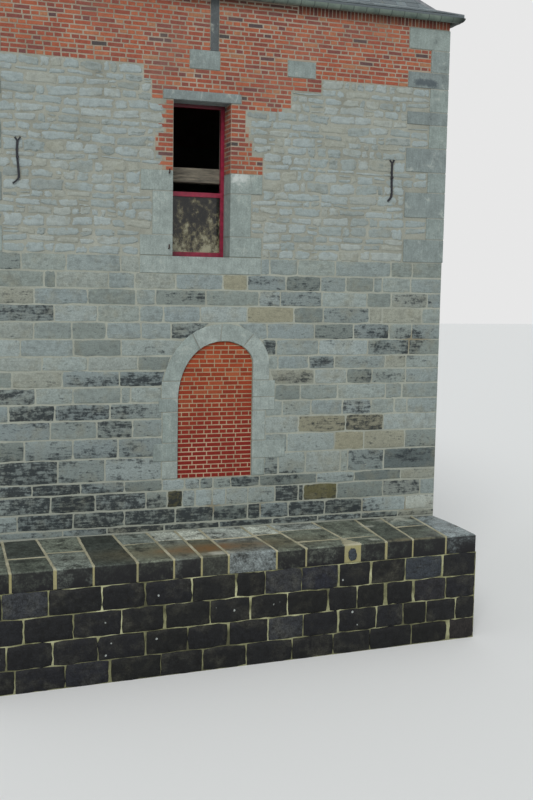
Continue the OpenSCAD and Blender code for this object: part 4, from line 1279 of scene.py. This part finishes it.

# Old drawn panes, wavy, painted dark for the shade of the room behind them, under a patchy beige painted
# reflection.
glass = finish("old_window_glass")
spot = add(glass, "TexCoord").outputs["Object"]
streaky = add(glass, "Mapping", {"Vector": spot, "Scale": (1.0, 1.0, 0.7)}).outputs["Vector"]
# Painted reflection: patches of beige over the dark glass, more of them lower down.
painted_reflection = add(glass, "TexNoise", {"Vector": streaky, "Scale": 9.0, "Detail": 8.0, "Roughness": 0.72})
height = add(glass, "SeparateXYZ", {"Vector": spot}).outputs["Z"]
reflection_lower_down = add(glass, "MapRange", {"Value": height, "From Min": 5.3, "From Max": 6.1,
                                  "To Min": 0.12, "To Max": -0.1})
painted_reflection = add(glass, "Math", {0: painted_reflection.outputs["Fac"], 1: reflection_lower_down.outputs["Result"]}, operation="ADD")
tint = add(glass, "ValToRGB", {"Fac": painted_reflection.outputs["Value"]}, stops=[
    (0.4, "#131514"), (0.48, "#2f2d25"), (0.55, "#6b654c"), (0.66, "#b0ad90")
])
ripple = add(glass, "TexNoise", {"Vector": spot, "Scale": 6.0, "Detail": 2.0})
coat(glass, tint.outputs["Color"], 0.12, (ripple.outputs["Fac"], 0.25, 0.004),
     {"IOR": 1.52, "Transmission Weight": 0.3})
for side in SIDES:
    paint_node(side + "_window_glass", glass)

# Oak that has never been painted, grey and furrowed along the grain.
timber = finish("old_grey_oak")
spot = add(timber, "TexCoord").outputs["Object"]
along_grain = add(timber, "Mapping", {"Vector": spot, "Scale": (0.12, 1.0, 1.0)}).outputs["Vector"]
grain = add(timber, "TexNoise", {"Vector": along_grain, "Scale": 45.0, "Detail": 6.0, "Roughness": 0.65})
tint = add(timber, "ValToRGB", {"Fac": grain.outputs["Fac"]}, stops=[
    (0.3, "#37332d"), (0.5, "#605b50"), (0.7, "#837b6a")
])
coat(timber, tint.outputs["Color"], 0.85, (grain.outputs["Fac"], 0.5, 0.003))
worn_copy("front_window_beam", "front_window_beam_worn", timber, 0.012)
paint_node("upper_floor", timber)

# Iron anchors
# Forged bars that hold the ends of the floor ties, painted black long ago and now rusty at the edges.
iron = finish("forged_black_iron")
spot = add(iron, "TexCoord").outputs["Object"]
scale = add(iron, "TexNoise", {"Vector": spot, "Scale": 60.0, "Detail": 6.0, "Roughness": 0.7})
tint = add(iron, "ValToRGB", {"Fac": scale.outputs["Fac"]}, stops=[
    (0.35, "#202226"), (0.6, "#2f3035"), (0.8, "#5a4136")
])
coat(iron, tint.outputs["Color"], 0.6, (scale.outputs["Fac"], 0.5, 0.003), {"Metallic": 0.4})
anchors = worn_copy("wall_anchors", "wall_anchors_forged", iron, 0.004)
# No forged bar is straight: each is cut across at even heights, then pushed sideways by the offset that
# the line below gives for its height. The right bar bends a third as much as the left one.
anchor_foot, anchor_head = (corner.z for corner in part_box("wall_anchors"))
bent = bmesh.new()
bent.from_mesh(anchors.data)
for level in np.linspace(anchor_foot, anchor_head, 12)[1:-1]:
    bmesh.ops.bisect_plane(bent, geom=bent.verts[:] + bent.edges[:] + bent.faces[:],
                           plane_co=(0, 0, level), plane_no=(0, 0, 1))
for vert in bent.verts:
    rise = (vert.co.z - anchor_foot) / (anchor_head - anchor_foot)
    push = np.interp(rise, [0, 0.14, 0.3, 0.55, 0.75, 1.0], [-0.035, 0.0, -0.006, -0.02, -0.026, -0.01])
    vert.co.x += push * (1.0 if vert.co.x < 0 else 0.35)
bent.to_mesh(anchors.data)
bent.free()

# The two pins left in the jamb from the lost shutter: each a rusty bar out of the stone, bent upright.
pin_rust = finish("rusty_pin_iron")
coat(pin_rust, colour("#3a2420"), 0.85, more={"Metallic": 0.2})
pin_r, pin_sides = 0.009, 8
pin_heights = (5.4, 6.405)
# The middle line of a pin, as distance out of the wall and rise, and the direction its section's top faces.
jamb_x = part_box("front_window_frame")[0].x - 0.055
pin_line = np.array([[-0.04, 0.0], [0.028, 0.0], [0.042, 0.014], [0.042, 0.055]])
pin_normal = np.array([[0, 1.0], [-0.38, 0.92], [-0.92, 0.38], [-1.0, 0]])
turn = np.linspace(0, 2 * math.pi, pin_sides, endpoint=False)
pin_points, pin_faces = [], []
for z in pin_heights:
    first = len(pin_points)
    for (out, up), (n_out, n_up) in zip(pin_line, pin_normal):
        for a in turn:
            side_step, lift = pin_r * math.cos(a), pin_r * math.sin(a)
            pin_points.append((jamb_x + side_step, front_y - out - lift * n_out, z + up + lift * n_up))
    for k in range(len(pin_line) - 1):
        for m in range(pin_sides):
            a, b = first + k * pin_sides + m, first + k * pin_sides + (m + 1) % pin_sides
            pin_faces.append((a, b, b + pin_sides, a + pin_sides))
    pin_faces.append([first + m for m in range(pin_sides)][::-1])
    pin_faces.append([first + (len(pin_line) - 1) * pin_sides + m for m in range(pin_sides)])
pin_mesh = bpy.data.meshes.new("shutter_pins")
pin_mesh.from_pydata(pin_points, [], pin_faces)
pin_shape = bmesh.new()
pin_shape.from_mesh(pin_mesh)
bmesh.ops.recalc_face_normals(pin_shape, faces=pin_shape.faces)
pin_shape.to_mesh(pin_mesh)
pin_shape.free()
pin_mesh.shade_smooth()
pin_mesh.set_sharp_from_angle(angle=math.radians(50))
pin_mesh.materials.append(pin_rust)
shutter_pins = stand("shutter_pins", pin_mesh)
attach(shutter_pins, "root")

# Roof
# Slates about 200 mm wide in courses 115 mm apart, nailed to boards, each lapping the two courses below.
# The slopes kick out over the eaves, and lead caps cover the hips and the ridge.
slate = finish("weathered_slate")
spot = add(slate, "TexCoord").outputs["Object"]
tone = add(slate, "Attribute", attribute_name="tone").outputs["Fac"]
base = add(slate, "ValToRGB", {"Fac": tone}, stops=[
    (0.0, "#545d60"), (0.3, "#616b6e"), (0.6, "#697477"), (0.9, "#727d7f"), (1.0, "#7d827a")
])
lichen = add(slate, "TexNoise", {"Vector": spot, "Scale": 9.0, "Detail": 8.0, "Roughness": 0.7})
fine = add(slate, "TexNoise", {"Vector": spot, "Scale": 70.0, "Detail": 4.0})
surface = over(slate, base.outputs["Color"], "#85836c", lichen.outputs["Fac"], 0.56, 0.74, 0.3)
surface = weathered(slate, surface, (fine.outputs["Fac"], 0.14))
coat(slate, surface, 0.55, (fine.outputs["Fac"], 0.4, 0.003))
for side in SIDES:
    paint_node("roof_" + side, slate)

roof_low, roof_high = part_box("roof_front")
eaves_out = front_y - roof_low.y
run = half_w + eaves_out
# Height of a course, how much of it a slate shows and runs on under the next, its width and its thickness.
gauge, cover, slate_w, slate_t = 0.115, 1.12, 0.2, 0.006
# The flatter foot: how far it runs in and how steep it is. The boards' edge is edge_t thick.
foot_run, foot_pitch, edge_t = 0.3, math.radians(20), 0.035
ridge_rise = roof_high.z - wall_top - edge_t
foot_rise = foot_run * math.tan(foot_pitch)
knee = np.array([[0, 0], [foot_run, foot_rise], [run, ridge_rise]])
lengths = np.concatenate([[0], np.cumsum(np.linalg.norm(np.diff(knee, axis=0), axis=1))])
draw = np.random.default_rng(97)


def on_slope(origin, along):
    """Puts slates on a slope: z runs up the slates from the eaves, round the kick, and w lifts off them."""
    out = np.cross(along, (0, 0, 1))
    edge = np.asarray(origin) + eaves_out * out + np.array([0, 0, wall_top + edge_t])

    def place(x, z, w):
        inward, up = np.interp(z, lengths, knee[:, 0]), np.interp(z, lengths, knee[:, 1])
        steep = np.interp(z, [lengths[1] - 0.06, lengths[1] + 0.06],
                          [foot_pitch, math.atan2(ridge_rise - foot_rise, run - foot_run)])
        flat = edge + x[..., None] * np.asarray(along) + (w * np.sin(steep) - inward)[..., None] * out
        return flat + (up + w * np.cos(steep))[..., None] * np.array([0, 0, 1.0])
    return place


courses = np.arange(0, lengths[-1] - 0.04, gauge)
slate_gap, hip_gap = 0.003, 0.004
# Each slate's tail rides on the ones below.
tail_lift = np.array([0.007, 0.007, 0.0, 0.0])
for side, (origin, along, half) in SIDES.items():
    corners = []
    for low in courses:
        high = min(low + gauge * cover, lengths[-1])
        in_low, in_high = np.interp([low, high], lengths, knee[:, 0])
        half_low, half_high = half + eaves_out - in_low - hip_gap, half + eaves_out - in_high - hip_gap
        if half_low < 0.06:
            break
        steps = slate_w * draw.normal(1, 0.1, int(2 * half_low / slate_w) + 6).clip(0.75, 1.3)
        cuts = -half_low - draw.uniform(0.1, 0.9) * slate_w + np.cumsum(steps)
        cuts = cuts[(cuts > -half_high + 0.05) & (cuts < half_high - 0.05)]
        ends = (-half_low, -half_high, half_low, half_high)
        cells = np.array(cut_cells(ends, cuts, low, high, slate_gap))
        cells[:, :2, 1] += draw.normal(0, 0.0035, len(cells))[:, None]
        corners.append(cells)
    corners = np.concatenate(corners)
    rim = [(0.0, 0.0), (0.0015, slate_t)]
    points = shells(corners, rim, on_slope(origin, along), draw, inner=(0, 0), rough=0.0005)
    points[:, :, :, 2] += tail_lift
    join("slates_" + side, points, slate, "slate", tone=draw.random(len(points)))

# Lead sheet, dull grey where the weather has skinned it.
lead = finish("dull_lead_sheet")
spot = add(lead, "TexCoord").outputs["Object"]
dull = add(lead, "TexNoise", {"Vector": spot, "Scale": 8.0, "Detail": 6.0})
tint = add(lead, "ValToRGB", {"Fac": dull.outputs["Fac"]}, stops=[(0.3, "#6f7378"), (0.7, "#8d9193")])
coat(lead, tint.outputs["Color"], 0.6, more={"Metallic": 0.6})
worn_copy("roof_caps", "roof_caps_dressed", lead, 0.003, 2)

# Gutters
# Half-round zinc, gone grey-green, near black at the corners with painted shade, hung on straps at its
# soldered joints.
zinc = finish("patinated_zinc")
spot = add(zinc, "TexCoord").outputs["Object"]
patina = add(zinc, "TexNoise", {"Vector": spot, "Scale": 5.0, "Detail": 7.0, "Roughness": 0.65})
tint = add(zinc, "ValToRGB", {"Fac": patina.outputs["Fac"]}, stops=[
    (0.3, "#525f59"), (0.5, "#66736a"), (0.75, "#7c887d")
])
# Painted shade: the gutter darkens to near black towards both corners of the house.
corner = add(zinc, "SeparateXYZ", {"Vector": spot}).outputs["X"]
corner = add(zinc, "Math", {0: corner}, operation="ABSOLUTE")
tint = over(zinc, tint.outputs["Color"], "#1d2421", corner.outputs["Value"],
            half_w - 0.12, half_w + 0.12, 0.95)
coat(zinc, tint, 0.55, more={"Metallic": 0.5})
# The straps and the solder beside them, nearly black from the rain that creeps into the laps.
strap_metal = finish("blackened_strap_zinc")
coat(strap_metal, colour("#4a534e"), 0.65, more={"Metallic": 0.4})
gutter_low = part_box("gutter_front")[0]
gutter_r = wall_top - gutter_low.z
gutter_out = front_y - gutter_low.y - gutter_r
strap_w, strap_t, strap_pitch, strap_edge = 0.012, 0.003, 0.195, 0.002
for side, (origin, along, half) in SIDES.items():
    paint_node("gutter_" + side, zinc)
    out = np.cross(along, (0, 0, 1))
    turn = np.linspace(0, math.pi, 13)
    places = np.arange(-half - 0.05, half + 0.06, strap_pitch)
    left, right = -strap_w / 2, strap_w / 2
    lap = np.array([left, left, left + strap_edge, right - strap_edge, right, right])
    lift = np.array([-0.001, 0, strap_t, strap_t, 0, -0.001])
    radius = gutter_r + lift
    x, z, w = np.broadcast_arrays(places[:, None, None] + lap[:, None],
                                  wall_top - radius[:, None] * np.sin(turn),
                                  gutter_out + radius[:, None] * np.cos(turn))
    straps = on_plane(origin, along)(x, z, w)
    join("gutter_straps_" + side, straps, strap_metal, "iron")

# Studio
# A pale floor, a white ground behind for the eye and for reflections, and soft light from the upper left.
floor_mesh = bpy.data.meshes.new("studio_floor")
reach = 120.0
floor_mesh.from_pydata([(-reach, -reach, 0), (reach, -reach, 0), (reach, reach, 0), (-reach, reach, 0)], [],
                       [(0, 1, 2, 3)])
floor = stand("studio_floor", floor_mesh)
floor_paint = finish("matt_pale_floor")
coat(floor_paint, colour("#e6e6e4"), 0.9)
floor_mesh.materials.append(floor_paint)

world = bpy.data.worlds.new("soft_daylight")
bpy.context.scene.world = world
world.use_nodes = True
# The eye, reflections and what shows through glass see the plain ground, all else the soft bluish light.
path = add(world, "LightPath").outputs
seen = add(world, "Math", {0: path["Is Camera Ray"], 1: path["Is Glossy Ray"]}, operation="MAXIMUM")
seen = add(world, "Math", {0: seen.outputs["Value"], 1: path["Is Transmission Ray"]}, operation="MAXIMUM")
ground = add(world, "Background", {"Strength": 1.0})
ambient = world.node_tree.nodes["Background"]
plug(world, ambient, {"Color": (0.93, 0.97, 1.0, 1.0), "Strength": 0.62})
mix = add(world, "MixShader", {0: seen.outputs["Value"], 1: ambient.outputs[0], 2: ground.outputs[0]})
plug(world, world.node_tree.nodes["World Output"], {"Surface": mix.outputs[0]})

# It stands 38 degrees high, to the left behind the camera, and is wide, so that its shadows are soft.
sun_data = bpy.data.lights.new("high_soft_sun", "SUN")
sun_data.energy = 1.5
sun_data.angle = math.radians(25)
sun = stand("high_soft_sun", sun_data)
sun.rotation_euler = (math.radians(52), 0, math.radians(-28))

# Camera as in the photograph: a plain pinhole fitted to the lines and sizes of the front wall.
# Its angles in degrees, its focal length and the longer side of the frame in pixels, and its place.
yaw, pitch, roll = (math.radians(a) for a in (19.369, -6.154, 0.985))
focal_px, frame_px, sensor_mm = 1046.6, 800, 36.0
eye = (-4.125, front_y - 13.949, 4.903)
ahead = np.array([math.sin(yaw) * math.cos(pitch), math.cos(yaw) * math.cos(pitch), math.sin(pitch)])
level = np.array([math.cos(yaw), -math.sin(yaw), 0])
upward = np.cross(level, ahead)
right = math.cos(roll) * level + math.sin(roll) * upward
above = math.cos(roll) * upward - math.sin(roll) * level
camera_data = bpy.data.cameras.new("photo_camera")
camera_data.sensor_fit = "AUTO"
camera_data.sensor_width = sensor_mm
camera_data.lens = focal_px / frame_px * sensor_mm
camera_data.clip_end = 500
camera = stand("photo_camera", camera_data)
turned_to = Matrix(np.stack([right, above, -ahead], 1).tolist()).to_4x4()
turned_to.translation = eye
camera.matrix_world = turned_to
bpy.context.scene.camera = camera
bpy.context.scene.view_settings.view_transform = "Standard"
